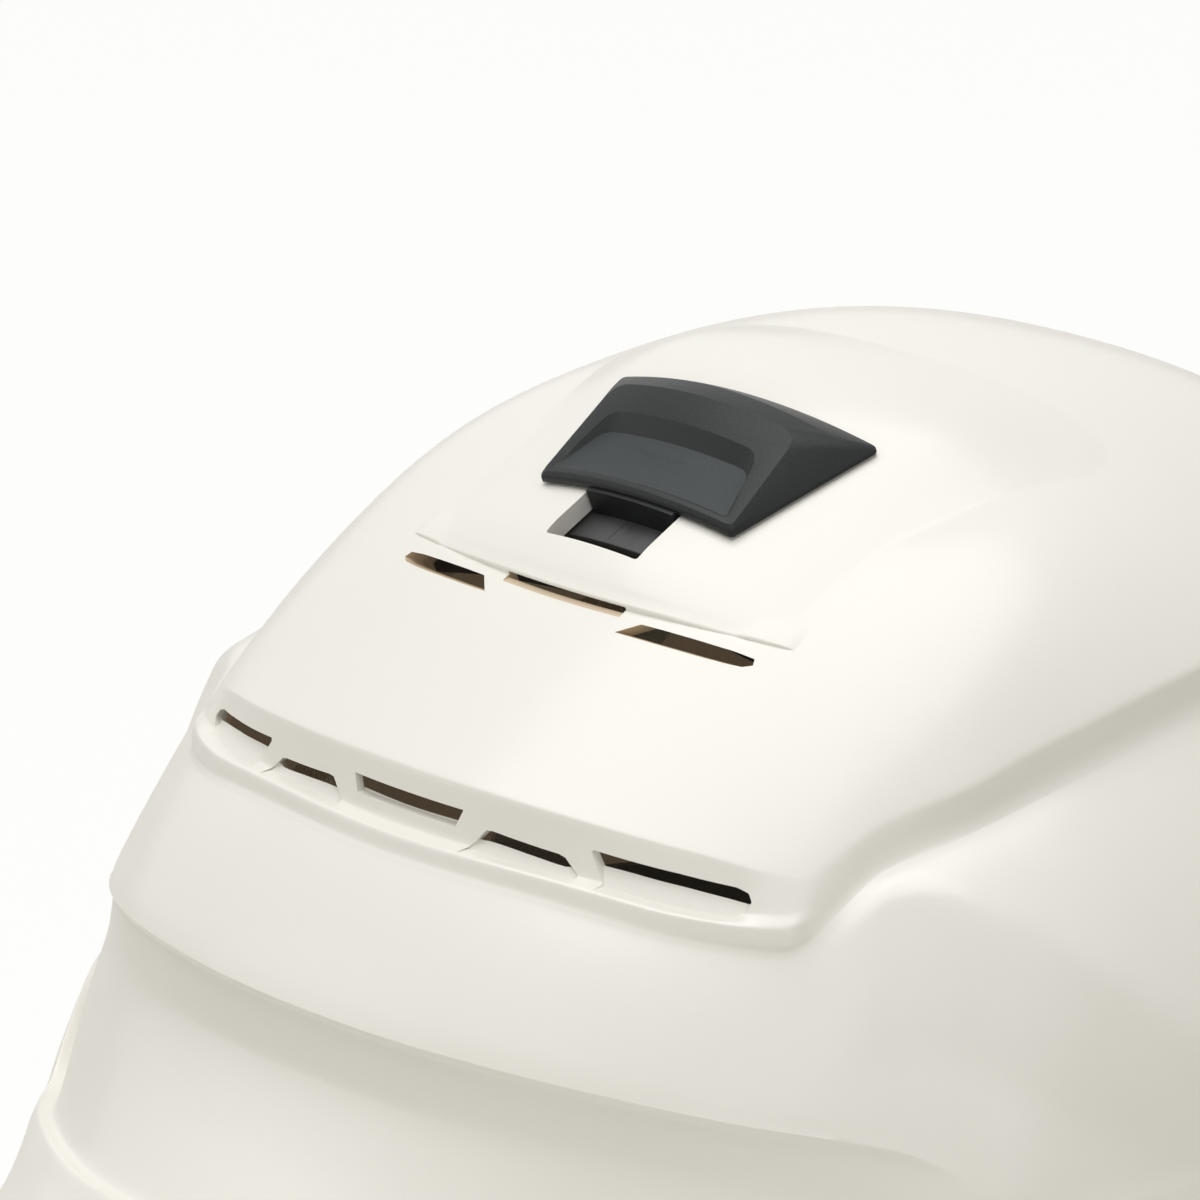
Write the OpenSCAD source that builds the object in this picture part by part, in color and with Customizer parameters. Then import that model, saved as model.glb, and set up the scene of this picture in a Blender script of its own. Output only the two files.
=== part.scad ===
// Vented work helmet with a short peak, a sliding top vent and a ratchet head harness.
// The front of the helmet faces -Y, +Z is up and the side rims and the nape housing stand on z = 0.

/* [Shell] */
// Half width of the shell dome
dome_half_w = 108; // [102:1:114]
// Half length of the shell dome, along its tilted axis
dome_half_l = 120.4; // [114:0.2:127]
// Height of the dome above its centre
dome_h = 125.8; // [119:0.2:132]
// Wall thickness of the moulded shell
shell_t = 2.8; // [2.4:0.1:3.4]
// How far the raised bonnet stands above the dome at its front edge
bonnet_rise = 4.2; // [3:0.1:5]
// How far the peak reaches forward of the dome
peak_reach = 35.5; // [28:0.1:42]
// Depth of the side hollow beside the bonnet
hollow_d = 3.2; // [2:0.1:4]
/* [Vents] */
// Height of the high windows in the brow vent
brow_high_h = 2.6; // [2:0.1:3.2]
// Height of the low windows in the brow vent
brow_low_h = 3.0; // [2.4:0.1:3.6]
/* [Slider] */
// Radius of the crowned platform that the slider rides on
crown_r = 88; // [80:1:98]
// Thickness of the platform's skin
skin_t = 3; // [2.4:0.1:3.4]
// Width of the slider's track
track_w = 17.6; // [14:0.2:20]
// Travel of the slider
slide_travel = 8.5; // [6:0.5:8.5]
// Width of the slider button at its rear edge
button_w = 49.6; // [46:0.2:54]
/* [Harness] */
// Half width of the headband, inside
band_half_w = 79; // [75:0.5:82]
// Half length of the headband, inside
band_half_l = 99; // [96:0.5:100]
// Height of the headband
band_h = 32; // [28:1:34]
// Thickness of the headband
band_t = 1.8; // [1.4:0.1:2.2]
// Width of the webbing straps
strap_w = 20; // [16:1:22]
// Height of the lowest strap at the crown
strap_top = 112; // [108:1:116]
/* [Ratchet] */
// Width of the ratchet housing
case_w = 64; // [60:1:70]
// Height of the ratchet housing
case_h = 34; // [32:1:36]
// Diameter of the knob
knob_d = 32; // [28:1:33]
// Pitch radius of the pinion
pinion_r = 6; // [6:0.5:6.5]
/* [Hidden] */
dome_tilt = -25.13;
dome_pow = 2.3;
dome_y = 17.4;
dome_z = 23;
spokes = 64;

function clamp01(x) = min(1, max(0, x));
function lerp(a, b, t) = a + (b - a) * t;
function sgn0(x) = x < 0 ? -1 : 1;

// Distance from the dome centre to the dome along a plan angle and an elevation
function dome_r(p, e) = let(
    dx = sin(p) * cos(e), dy = -cos(p) * cos(e), dz = sin(e),
    y = cos(dome_tilt) * dy - sin(dome_tilt) * dz,
    z = sin(dome_tilt) * dy + cos(dome_tilt) * dz)
    pow(pow(abs(dx / dome_half_w), dome_pow) + pow(abs(y / dome_half_l), dome_pow)
        + pow(abs(z / dome_h), dome_pow), -1 / dome_pow);

// Point of the dome, moved out by o
function dome_pt(p, e, o) = let(r = dome_r(p, e) + o)
    [r * sin(p) * cos(e), dome_y - r * cos(p) * cos(e), dome_z + r * sin(e)];

// Plan radius of the dome at a height
function dome_rho(p, z, n = 10, r = 115) = n == 0 ? r :
    let(e = atan2(z - dome_z, r)) dome_rho(p, z, n - 1, 0.5 * r + 0.5 * dome_r(p, e) * cos(e));

function wall_pt(p, z, o) = let(r = dome_rho(p, z) + o) [r * sin(p), dome_y - r * cos(p), z];

// Smooth curve through the columns of a table, flat at both ends
function seg(t, x, i = 0) = (i >= len(t) - 2 || x < t[i + 1][0]) ? i : seg(t, x, i + 1);
function slope(t, i, c) = (t[i + 1][c] - t[i][c]) / (t[i + 1][0] - t[i][0]);
function tang(t, i, c) = (i == 0 || i == len(t) - 1) ? 0 :
    let(a = slope(t, i - 1, c), b = slope(t, i, c), ha = t[i][0] - t[i - 1][0], hb = t[i + 1][0] - t[i][0],
        m = (a * hb + b * ha) / (ha + hb))
    a * b <= 0 ? 0 : sgn0(m) * min(abs(m), 3 * min(abs(a), abs(b)));
function curve(t, x, c = 1) = let(
    q = min(max(x, t[0][0]), t[len(t) - 1][0]),
    i = seg(t, q),
    h = t[i + 1][0] - t[i][0],
    s = (q - t[i][0]) / h)
    (2 * s * s * s - 3 * s * s + 1) * t[i][c] + (s * s * s - 2 * s * s + s) * h * tang(t, i, c)
    + (3 * s * s - 2 * s * s * s) * t[i + 1][c] + (s * s * s - s * s) * h * tang(t, i + 1, c);

// Bonnet outline: plan angle, elevation of its foot, elevation of its top edge
bonnet_foot = [[0, 38.2], [14, 38], [20, 37.6], [26, 37.05], [33, 36.85], [35, 37.05], [37, 38.9], [40, 41.7],
    [44, 43.8], [48, 45.4], [54, 47.6], [64, 50.4], [78, 52.7], [95, 53.4], [115, 52.3], [135, 50.4],
    [160, 48.8], [180, 48.5]];
bonnet_top = [[0, 43.7], [15, 43.3], [27, 42.3], [35.5, 41], [38, 42.6], [41, 44.6], [45, 46.2], [49, 47.4],
    [55, 49.6], [65, 52.2], [79, 54.4], [95, 55.1], [115, 54.1], [135, 52.3], [160, 51], [180, 50.7]];
// Plan angle, share of the bonnet rise kept at its top edge
bonnet_share = [[0, 1], [15, 0.9], [27, 0.62], [35.5, 0.38], [45, 0.24], [60, 0.19], [95, 0.19], [130, 0.1],
    [180, 0]];
// Plan angle, share of the side hollow just outside the bonnet foot
hollow_share = [[0, -0.06], [35, 0.25], [40, 0.8], [50, 1], [80, 1], [130, 0.6], [180, 0.35]];
// Plan angle, height of the side crease
crease_rise = [[0, 0], [40, 0.6], [62, 0.6], [90, 0], [180, 0]];
// Plan angle, elevation of the side crease
crease_line = [[0, 36], [35, 36.2], [38, 38.2], [43, 41.3], [47, 40.6], [51, 39], [55, 37], [60, 34.6],
    [66, 30.8], [72, 28.6], [80, 27.2], [110, 26.5], [180, 26.5]];
// Lower rings: plan angle, height, distance outside the dome
ledge = [[0, 84.5, 3.8], [12, 84.3, 3.6], [24, 82.6, 2.6], [33, 79.8, 1.2], [40, 77.2, 0.2], [44, 75.1, -0.2],
    [48, 71.2, -0.2], [52, 67.4, -0.1], [60, 66, 0], [75, 70, 0], [110, 72, 0], [180, 76, 0]];
ledge_foot = [[0, 83, 1.5], [12, 82.8, 1.3], [24, 81.1, 0.5], [33, 78.2, -0.8], [40, 75.6, -1.8],
    [44, 73.5, -1.8], [48, 70, -1], [52, 66.2, -0.5], [60, 63, 0], [75, 66, 0], [110, 67, 0], [180, 71, 0]];
band_foot = [[0, 74.3, -2], [12, 74.3, -2], [24, 73.4, -2.4], [33, 70.8, -3], [40, 68, -3.5], [44, 65.5, -3],
    [48, 60.5, -1.4], [60, 58, 0], [75, 60, 0], [110, 60, 0], [180, 66, 0]];
gutter_in = [[0, 66, 2], [12, 65.5, 1], [24, 64, -1], [33, 62, -2.2], [40, 58.5, -2.6], [44, 57.5, -2.2],
    [48, 59, -1.2], [60, 53, 0], [75, 52, 0], [110, 52, 0], [180, 60, 0]];
gutter_foot = [[0, 56.5, 10.8], [12, 54, 7.6], [24, 50, 2.4], [33, 45.6, 1], [40, 42.6, 0.8], [44, 47.5, 0.4],
    [48, 58, -0.8], [60, 47, 0.2], [75, 43, 0], [110, 44, 0], [180, 54, 0]];
lip_top = [[0, 57.6, 14.3], [12, 55, 10.6], [24, 51, 5], [33, 46.6, 3.6], [40, 43.6, 3.3], [44, 49, 2.4],
    [48, 57, 0.6], [60, 42, 0.5], [75, 35, 0], [110, 36, 0], [180, 48, 0]];
lip_out = [[0, 55, 16.6], [12, 52.5, 12.6], [24, 48.5, 6.6], [33, 44, 5], [40, 41, 4.4], [44, 46.5, 3.4],
    [48, 55, 1], [60, 36, 0.7], [75, 27, 0.2], [110, 28, 0.2], [180, 42, 0]];
peak_mid = [[0, 47, 25.6], [12, 44.6, 21], [24, 38, 13], [33, 33, 8], [40, 29, 5.6], [44, 30, 4.6],
    [48, 33, 2.6], [60, 20, 1.6], [75, 14, 0.8], [110, 14, 0.8], [135, 21, 0.6], [180, 37, 0.4]];
rim_top = [[0, 39.5, 34.9], [12, 36.8, 31.6], [24, 29.5, 22.6], [33, 24, 15.8], [40, 19.5, 11], [44, 16.8, 8.8],
    [48, 13.8, 7], [60, 6, 4], [75, 3.2, 2.2], [110, 3.2, 2.2], [135, 11.2, 2], [180, 29.2, 1.6]];
rim_low = [[0, 36.5, 35.5], [12, 33.8, 32.2], [24, 26.5, 23.1], [33, 21, 16.2], [40, 16.5, 11.3],
    [44, 13.8, 9.1], [48, 10.8, 7.3], [60, 3, 4.3], [68, 0.4, 3], [75, 0, 2.5], [110, 0, 2.5], [117, 0.8, 2.4],
    [135, 8, 2.2], [180, 26, 1.8]];
low_rings = [ledge, ledge_foot, band_foot, gutter_in, gutter_foot,
    lip_top, lip_out, peak_mid, rim_top, rim_low];
drawn_reach = 35.5;
// Distance of a lower ring outside the dome; the rings of the peak grow with its reach
function ring_out(t, a) = curve(t, a, 2) * (t[0][2] > 10 ? peak_reach / drawn_reach : 1);

// Spoke angles, closer together round the bonnet corners and the temples
half_spokes = [0, 5, 10, 15, 20, 25, 30, 33, 35.5, 38, 41, 43.5, 45.5, 47.5, 50, 54, 60, 66, 72, 79, 86,
    93, 100, 107, 114, 121, 128, 135, 142, 150, 158, 165, 172];
spoke = concat(half_spokes, [180], [for (i = [len(half_spokes) - 1:-1:1]) -half_spokes[i]]);
n_spoke = len(spoke);

// Height over the dome between the bonnet foot and the ledge, at a share f of the way down
function brow_off(a, e) = let(
    c = curve(crease_line, a),
    foot = curve(bonnet_foot, a),
    h = -hollow_d * curve(hollow_share, a),
    l = a < 48 ? curve(ledge, a, 2) : 0,
    t = clamp01((foot - e) / max(0.5, foot - c)),
    low = clamp01((c - e) / 14),
    side = lerp(lerp(h, curve(crease_rise, a), t), l, low * low * (3 - 2 * low)))
    a < 40 ? lerp(h, l, clamp01((foot - e) / 11)) : side;

function ledge_e(a) = let(z = curve(ledge, a, 1)) atan2(z - dome_z, dome_rho(a, z));

// Elevation of the rings between the bonnet foot and the ledge: beside the bonnet one lies on the crease
function brow_e(a, i) = let(
    f = curve(bonnet_foot, a) - 0.6,
    c = curve(crease_line, a),
    l = ledge_e(a),
    side = [lerp(f, c, 0.45), c, lerp(c, l, 0.3), lerp(c, l, 0.68)])
    lerp(side[i], lerp(f, l, brow_f[i]), clamp01((40 - a) / 5));

top_f = [0.12, 0.3, 0.48, 0.66, 0.82, 0.93];
brow_f = [0.12, 0.35, 0.62, 0.86];

// Outer rings from the crown to the rim, for one spoke
function outer(p) = let(
    a = abs(p), et = curve(bonnet_top, a), ef = curve(bonnet_foot, a), el = ledge_e(a),
    ot = bonnet_rise * curve(bonnet_share, a), oh = -hollow_d * curve(hollow_share, a),
    front = clamp01((40 - a) / 5))
    concat(
        [for (f = top_f) let(e = lerp(90, et, f)) dome_pt(p, e, lerp(0.9, ot, pow(f, 7)))],
        [dome_pt(p, et, ot)],
        [dome_pt(p, lerp(ef + 0.8, ef + 1.9, front), lerp(oh + 1, -0.3, front))],
        [dome_pt(p, lerp(ef + 0.2, ef + 1.3, front), lerp(oh + 0.2, 1.4, front))],
        [dome_pt(p, lerp(ef - 0.6, ef + 0.2, front), lerp(oh, 0.3, front))],
        [for (i = [0:3]) let(e = brow_e(a, i)) dome_pt(p, e, brow_off(a, e))],
        [for (t = low_rings) wall_pt(p, curve(t, a, 1), ring_out(t, a))]);

// Inner rings for one spoke: the outer form, moved in by the wall and without the small steps
in_rings = [ledge, band_foot, gutter_in, gutter_foot, peak_mid, rim_low];
function wall_across(a, i) = shell_t * (i < 2 ? 1.05 : lerp(1.5, 1, clamp01((a - 24) / 24)));
function inner(p) = let(
    a = abs(p), et = curve(bonnet_top, a), ef = curve(bonnet_foot, a),
    ot = bonnet_rise * curve(bonnet_share, a), oh = -hollow_d * curve(hollow_share, a),
    front = clamp01((40 - a) / 5))
    concat(
        [for (f = top_f) let(e = lerp(90, et, f)) dome_pt(p, e, lerp(0.9, ot, pow(f, 7)) - shell_t)],
        [dome_pt(p, et, ot - shell_t)],
        [dome_pt(p, lerp(ef + 0.3, ef + 1.6, front), lerp(oh, -0.3, front) - shell_t)],
        [for (i = [1, 3]) let(e = brow_e(a, i)) dome_pt(p, e, brow_off(a, e) - shell_t)],
        [for (i = [0:5]) let(t = in_rings[i])
            wall_pt(p, curve(t, a, 1), ring_out(t, a) - (i == 5 ? shell_t : wall_across(a, i)))]);

module shell_body() {
    outs = [for (p = spoke) outer(p)];
    ins = [for (p = spoke) inner(p)];
    no = len(outs[0]);
    ni = len(ins[0]);
    crown = [0, dome_y, dome_z + dome_r(0, 90) + 0.9];
    outside = [for (s = outs) for (q = s) q];
    inside = [for (s = ins) for (q = s) q];
    pts = concat([crown], outside, [crown - [0, 0, shell_t]], inside);
    i0 = 1 + n_spoke * no;
    function oi(s, r) = 1 + (s % n_spoke) * no + r;
    function ii(s, r) = i0 + 1 + (s % n_spoke) * ni + r;
    faces = concat(
        [for (s = [0:n_spoke - 1]) [0, oi(s + 1, 0), oi(s, 0)]],
        [for (s = [0:n_spoke - 1]) for (r = [0:no - 2]) each [[oi(s, r), oi(s + 1, r), oi(s, r + 1)],
            [oi(s + 1, r), oi(s + 1, r + 1), oi(s, r + 1)]]],
        [for (s = [0:n_spoke - 1]) [i0, ii(s, 0), ii(s + 1, 0)]],
        [for (s = [0:n_spoke - 1]) for (r = [0:ni - 2]) each [[ii(s, r), ii(s, r + 1), ii(s + 1, r)],
            [ii(s + 1, r), ii(s, r + 1), ii(s + 1, r + 1)]]],
        [for (s = [0:n_spoke - 1]) each [[oi(s, no - 1), oi(s + 1, no - 1), ii(s, ni - 1)],
            [oi(s + 1, no - 1), ii(s + 1, ni - 1), ii(s, ni - 1)]]]);
    polyhedron(pts, faces, convexity = 8);
}

// Slide frame: local x is X, local y runs up the crown along the slide, local z stands on it
slide_o = [0, -28, 145.1];
slide_tilt = 24.5;
module in_slide() {
    translate(slide_o) rotate([slide_tilt, 0, 0]) children();
}
function slide_pt(x, s, n) = slide_o + [x, s * cos(slide_tilt) - n * sin(slide_tilt),
    s * sin(slide_tilt) + n * cos(slide_tilt)];
// Height of the dome over the slide plane
function dome_n(x, s, n = -5, k = 7) = k == 0 ? n : let(
    q = slide_pt(x, s, n) - [0, dome_y, dome_z], r = norm(q),
    e = asin(q[2] / r), a = atan2(q[0], -q[1]))
    dome_n(x, s, n - (r - dome_r(a, e) - 0.9), k - 1);
// Height of the crowned platform over the slide plane
function crown_n(x, d = 0) = sqrt(pow(crown_r + d, 2) - x * x) - crown_r;
function lip_s(x) = -26 + 7.5 * pow(x / 36, 2);

// Block under a cylinder that is concentric with the crown
module under_crown(d, w, s0, s1, n0) {
    intersection() {
        translate([0, s0, -crown_r]) rotate([-90, 0, 0]) cylinder(r = crown_r + d, h = s1 - s0, $fn = 180);
        translate([-w / 2, s0, n0]) cube([w, s1 - s0, 40]);
    }
}

// Solid between an upper and a lower grid of points, with n rows across x and m points in each
module closed_grid(top, low, n, m) {
    b = n * m;
    function at(i, j) = i * m + j;
    function quad(p, q, r, s) = [[p, q, r], [r, q, s]];
    polyhedron(concat(top, low), concat(
        [for (i = [0:n - 2]) for (j = [0:m - 2])
            each quad(at(i, j), at(i, j + 1), at(i + 1, j), at(i + 1, j + 1))],
        [for (i = [0:n - 2]) for (j = [0:m - 2])
            each quad(b + at(i, j), b + at(i + 1, j), b + at(i, j + 1), b + at(i + 1, j + 1))],
        [for (i = [0:n - 2]) each quad(at(i, 0), at(i + 1, 0), b + at(i, 0), b + at(i + 1, 0))],
        [for (i = [0:n - 2])
            each quad(at(i, m - 1), b + at(i, m - 1), at(i + 1, m - 1), b + at(i + 1, m - 1))],
        [for (j = [0:m - 2]) each quad(at(0, j), b + at(0, j), at(0, j + 1), b + at(0, j + 1))],
        [for (j = [0:m - 2])
            each quad(at(n - 1, j), at(n - 1, j + 1), b + at(n - 1, j), b + at(n - 1, j + 1))]),
        convexity = 6);
}

plat_half = 38;
plat_x = [-plat_half, -36.5, -34, -30, -25, -20, -15, -10, -5, 0,
    5, 10, 15, 20, 25, 30, 34, 36.5, plat_half];
plat_s = [0, 0.25, 0.5, 0.75, 1, 1.14, 1.28, 1.42];
plat_rear = 20;
// Top of the platform: straight along the slide, then down into the dome at the rear
function plat_top(x, f) = let(
    s = lip_s(x) + f * (plat_rear - lip_s(x)), t = clamp01((f - 1) / 0.42), sd = clamp01((abs(x) - 33) / 5),
    d = dome_n(x, s), n = lerp(crown_n(x), d - 0.4, t * t * (3 - 2 * t)))
    [x, s, lerp(n, d - 0.4, sd * sd)];
module platform() {
    top = [for (x = plat_x) for (f = plat_s) plat_top(x, f)];
    low = [for (q = top) [q[0], q[1], dome_n(q[0], q[1]) - 1.5]];
    closed_grid(top, low, len(plat_x), len(plat_s));
}

// Hollow under the platform skin, the track through it and the windows at its front lip
track_front = -18.2;
neck_front = track_front + slide_travel + 0.2;
neck_rear = 5.8;
hollow_w = 48;
hollow_rear = 9;
front_wall = 1.8;
module platform_hollow() {
    front = [for (x = [-hollow_w / 2:4:hollow_w / 2]) [x, lip_s(x) + front_wall]];
    intersection() {
        under_crown(-skin_t, hollow_w, -30, hollow_rear, -16);
        translate([0, 0, -16]) linear_extrude(30)
            polygon(concat(front, [[hollow_w / 2, hollow_rear], [-hollow_w / 2, hollow_rear]]));
    }
}
side_window = [[12.6, -27.4], [17, -27.4], [22, -26.5], [28, -24.5],
    [32.6, -21.2], [24, -22.9], [15.1, -24.4]];
module platform_cuts() {
    platform_hollow();
    translate([-track_w / 2, track_front, -skin_t - 1.5])
        cube([track_w, neck_rear + 0.4 - track_front, 12]);
    for (m = [0, 1]) mirror([m, 0, 0])
        translate([0, 0, -15]) linear_extrude(17) polygon(side_window);
    translate([-11.5, -28, -5.4]) cube([23, 5.5, 1.5]);
}

// Guides for the shutter, moulded on the inside of the shell
shutter_n = -8.2;
shutter_t = 1.6;
shutter_r = 136;
shutter_half = 35.4;
rail_front = -27;
rail_rear = 16.5;
function shutter_low(x) = shutter_n - shutter_t + sqrt(shutter_r * shutter_r - x * x) - shutter_r;
module rail() {
    foot_n = shutter_low(shutter_half) - 0.35;
    sp = [for (i = [0:4]) lerp(rail_front, rail_rear, i / 4)];
    translate([shutter_half + 0.4, 0, 0]) rotate([90, 0, 90]) linear_extrude(2)
        polygon(concat([for (q = sp) [q, dome_n(shutter_half + 1.4, q) - 1.5]],
            [[rail_rear, foot_n - 1.6], [rail_front, foot_n - 1.6]]));
    translate([shutter_half - 2.6, rail_front, foot_n - 1.6]) cube([5, rail_rear - rail_front, 1.6]);
}

// Six keyed sockets: plan angle, height of the mouth, distance of the outer wall outside the dome
anchor_f = [50, 34, 1.5];
anchor_s = [97, 18, 0.6];
anchor_r = [140, 22, 0.7];
sock_w = 22;
sock_h = 15;
sock_d = 6;
key_t = 2;
key_w = 16;
key_back = 1.6;
fit = 0.3;
function wall_in(k, dp, dz) = dome_rho(k[0] + dp, k[1] + dz) + k[2] - shell_t;
function wall_turn(k) = let(a = wall_in(k, -5, 0), b = wall_in(k, 5, 0))
    -atan((b - a) * cos(5) / ((a + b) * sin(5)));
function wall_lean(k) = atan((wall_in(k, 0, sock_h) - wall_in(k, 0, 0)) / sock_h);
// Frame of a socket: local x is the wall's normal, local z runs up the wall from the mouth
module at_socket(k) {
    translate([0, dome_y, 0]) rotate([0, 0, k[0] - 90]) translate([wall_in(k, 0, 0), 0, k[1]])
        rotate([0, 0, wall_turn(k)]) rotate([0, wall_lean(k), 0]) children();
}
module socket_block(k) {
    at_socket(k) translate([-sock_d, -sock_w / 2, 0]) cube([sock_d + 1, sock_w, sock_h]);
}
module socket_slot(k) {
    at_socket(k) translate([-key_back - key_t - fit, -key_w / 2 - fit, -1])
        cube([key_t + 2 * fit, key_w + 2 * fit, sock_h - 1]);
}

// Windows of the brow vent, cut from the front just above the lip: plan angles of each, then its top
function over_lip(p0, p1) = [for (i = [0:4]) let(p = lerp(p0, p1, i / 4),
    q = dome_pt(p, curve(bonnet_foot, p) + 1.3, 1.4)) [q[0], q[2] + 0.12]];
brow_mid = [[-9.6, 110.2 - brow_high_h], [9.6, 110.2 - brow_high_h], [10.6, 110.2], [-10.6, 110.2]];
brow_low = concat(over_lip(7.1, 17.7), [[27.6, 104.3 + brow_low_h], [14.9, 105.5 + brow_low_h]]);
brow_end = concat(over_lip(19.7, 30.4), [[51.8, 103.6], [52.3, 104.9], [51.2, 106.2], [43, 107.6],
    [31.4, 109]]);
module brow_cut(outline) {
    translate([0, -45, 0]) rotate([90, 0, 0]) linear_extrude(50) polygon(outline);
}

module shell() {
    color("ivory") difference() {
        union() {
            shell_body();
            in_slide() {
                platform();
                rail();
                mirror([1, 0, 0]) rail();
            }
            for (k = [anchor_f, anchor_s, anchor_r]) {
                socket_block(k);
                mirror([1, 0, 0]) socket_block(k);
            }
        }
        in_slide() platform_cuts();
        brow_cut(brow_mid);
        for (m = [0, 1]) mirror([m, 0, 0]) {
            brow_cut(brow_low);
            brow_cut(brow_end);
            for (k = [anchor_f, anchor_s, anchor_r]) socket_slot(k);
        }
    }
}

// Slider button: rows along the slide give half width, edge height and crest height
ride = 0.45;
neck_w = track_w - 1;
button_half = button_w / 2;
button_front = -8.8;
button_rear = 15.8;
button_row = [[button_front, 0.746, 1.9, 1.9], [-6.5, 0.775, 2.9, 3.1], [-2, 0.83, 4.4, 4.7],
    [3.5, 0.89, 5.2, 6.4], [8, 0.94, 4.6, 6], [12.5, 0.985, 3, 4.6], [button_rear, 1, 1.4, 2.4]];
button_u = [-1, -0.82, -0.62, -0.3, 0, 0.3, 0.62, 0.82, 1];
// Shoulder heights over the crown across one row
function button_pt(r, u) = let(
    w = button_half * r[1], x = u * w, a = abs(u),
    top = a > 0.99 ? 1.2 : a > 0.8 ? lerp(1.2, r[2], 0.75) : lerp(r[3], r[2], pow(a / 0.82, 2)))
    [x, r[0], crown_n(x) + top];
module button_block() {
    top = [for (u = button_u) for (r = button_row) button_pt(r, u)];
    low = [for (q = top) [q[0], q[1], -12]];
    intersection() {
        closed_grid(top, low, len(button_u), len(button_row));
        difference() {
            translate([-40, -30, -15]) cube([80, 60, 40]);
            translate([0, -31, -crown_r]) rotate([-90, 0, 0])
                cylinder(r = crown_r + ride, h = 62, $fn = 180);
        }
    }
}
screw_s = [-5.5, 2];
screw_r = 1.2;
hole_r = 1.25;
module screw_holes() {
    for (q = screw_s) translate([0, q, -20]) cylinder(r = hole_r, h = 19, $fn = 32);
}
carrier_top = -skin_t - 0.4;
carrier_t = 1.5;
module slider_button() {
    color("dimgray") in_slide() difference() {
        union() {
            button_block();
            difference() {
                under_crown(ride + 0.3, neck_w, neck_front, neck_rear, -12);
                translate([0, neck_front - 1, -crown_r]) rotate([-90, 0, 0])
                    cylinder(r = crown_r + carrier_top + 0.02, h = 40, $fn = 180);
            }
        }
        // Thumb recess, open to the front, with a sloping floor
        translate([0, 0, 1.1]) rotate([5, 0, 0]) linear_extrude(12)
            polygon([[-15.8, -12], [15.8, -12], [15, 1.6], [13.4, 3.4], [-13.4, 3.4], [-15, 1.6]]);
        screw_holes();
    }
}

carrier_w = 24;
post_w = 8;
post_top = -4.6;
carrier_front = neck_front - 5;
module slider_carrier() {
    color("black") in_slide() difference() {
        union() {
            difference() {
                under_crown(carrier_top, carrier_w, carrier_front, neck_rear + 2, -12);
                translate([0, carrier_front - 1, -crown_r]) rotate([-90, 0, 0])
                    cylinder(r = crown_r + carrier_top - carrier_t, h = 40, $fn = 180);
            }
            // Post that carries the shutter plate
            translate([-post_w / 2, screw_s[0] - 3, shutter_n])
                cube([post_w, screw_s[1] - screw_s[0] + 6, post_top - shutter_n]);
        }
        screw_holes();
    }
}

shutter_front = -19.5;
shutter_rear = 17;
module shutter_plate() {
    color("black") in_slide() difference() {
        intersection() {
            difference() {
                translate([0, shutter_front, shutter_n - shutter_r]) rotate([-90, 0, 0])
                    cylinder(r = shutter_r, h = shutter_rear - shutter_front, $fn = 240);
                translate([0, shutter_front - 1, shutter_n - shutter_r]) rotate([-90, 0, 0])
                    cylinder(r = shutter_r - shutter_t, h = shutter_rear - shutter_front + 2, $fn = 240);
            }
            translate([-shutter_half, shutter_front, -20])
                cube([2 * shutter_half, shutter_rear - shutter_front, 20]);
        }
        screw_holes();
    }
}

module slider_screws() {
    head_n = shutter_n - shutter_t - 0.05;
    color("silver") in_slide() for (q = screw_s) translate([0, q, 0]) difference() {
        union() {
            translate([0, 0, head_n - 1.5]) cylinder(r = 2.4, h = 1.5, $fn = 32);
            translate([0, 0, head_n - 0.5]) cylinder(r = screw_r, h = -1.6 - head_n, $fn = 32);
        }
        for (a = [0, 90]) rotate([0, 0, a]) translate([-1.6, -0.3, head_n - 2]) cube([3.2, 0.6, 1.2]);
    }
}

// Headband: an upright ellipse cut by a slanted slab, higher at the forehead than at the nape
band_y = 14;
band_z = 33;
band_slant = 7;
band_end = 143;
function ell(g, p) = [(band_half_w + g) * sin(p), band_y - (band_half_l + g) * cos(p)];
function band_strip(g0, g1, p0, p1, n) = concat([for (i = [0:n]) ell(g1, lerp(p0, p1, i / n))],
    [for (i = [n:-1:0]) ell(g0, lerp(p0, p1, i / n))]);
// Where a hanger at a plan angle meets the outside of the headband
function band_hit(p) = let(
    aa = band_half_w + band_t, bb = band_half_l + band_t, s = sin(p), c = cos(p), h = dome_y - band_y,
    qa = s * s / (aa * aa) + c * c / (bb * bb), qb = -2 * h * c / (bb * bb), qc = h * h / (bb * bb) - 1,
    t = (-qb + sqrt(qb * qb - 4 * qa * qc)) / (2 * qa))
    [t * s, dome_y - t * c];
function band_normal(q) = let(
    v = [q[0] / pow(band_half_w + band_t, 2), (q[1] - band_y) / pow(band_half_l + band_t, 2)])
    v / norm(v);
function band_mid(y) = band_z - (y - band_y) * tan(band_slant);
peg_r = 2;
module at_band(k, z) {
    q = band_hit(k[0]);
    n = band_normal(q);
    translate([q[0], q[1], z]) rotate([0, 0, atan2(n[1], n[0])]) children();
}
module slant_slab(h) {
    translate([0, band_y, band_z]) rotate([-band_slant, 0, 0]) cube([300, 300, h], center = true);
}
function peg_z(k) = k[1] + 4;
module headband() {
    color("dimgray") difference() {
        intersection() {
            translate([0, 0, -10]) linear_extrude(100)
                polygon(band_strip(0, band_t, -band_end, band_end, 72));
            slant_slab(band_h);
        }
        for (m = [0, 1]) mirror([m, 0, 0]) {
            for (k = [anchor_f, anchor_s, anchor_r]) at_band(k, peg_z(k)) translate([-6, 0, 0])
                rotate([0, 90, 0]) cylinder(r = peg_r + 0.2, h = 12, $fn = 32);
            // Ventilation slots at the temples
            for (p = [74, 82, 102, 110]) let(q = ell(0, p)) translate([q[0], q[1], band_mid(q[1]) - 7])
                rotate([0, 0, p - 90]) translate([-5, -2, 0]) cube([10, 4, 14]);
        }
    }
}

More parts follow.
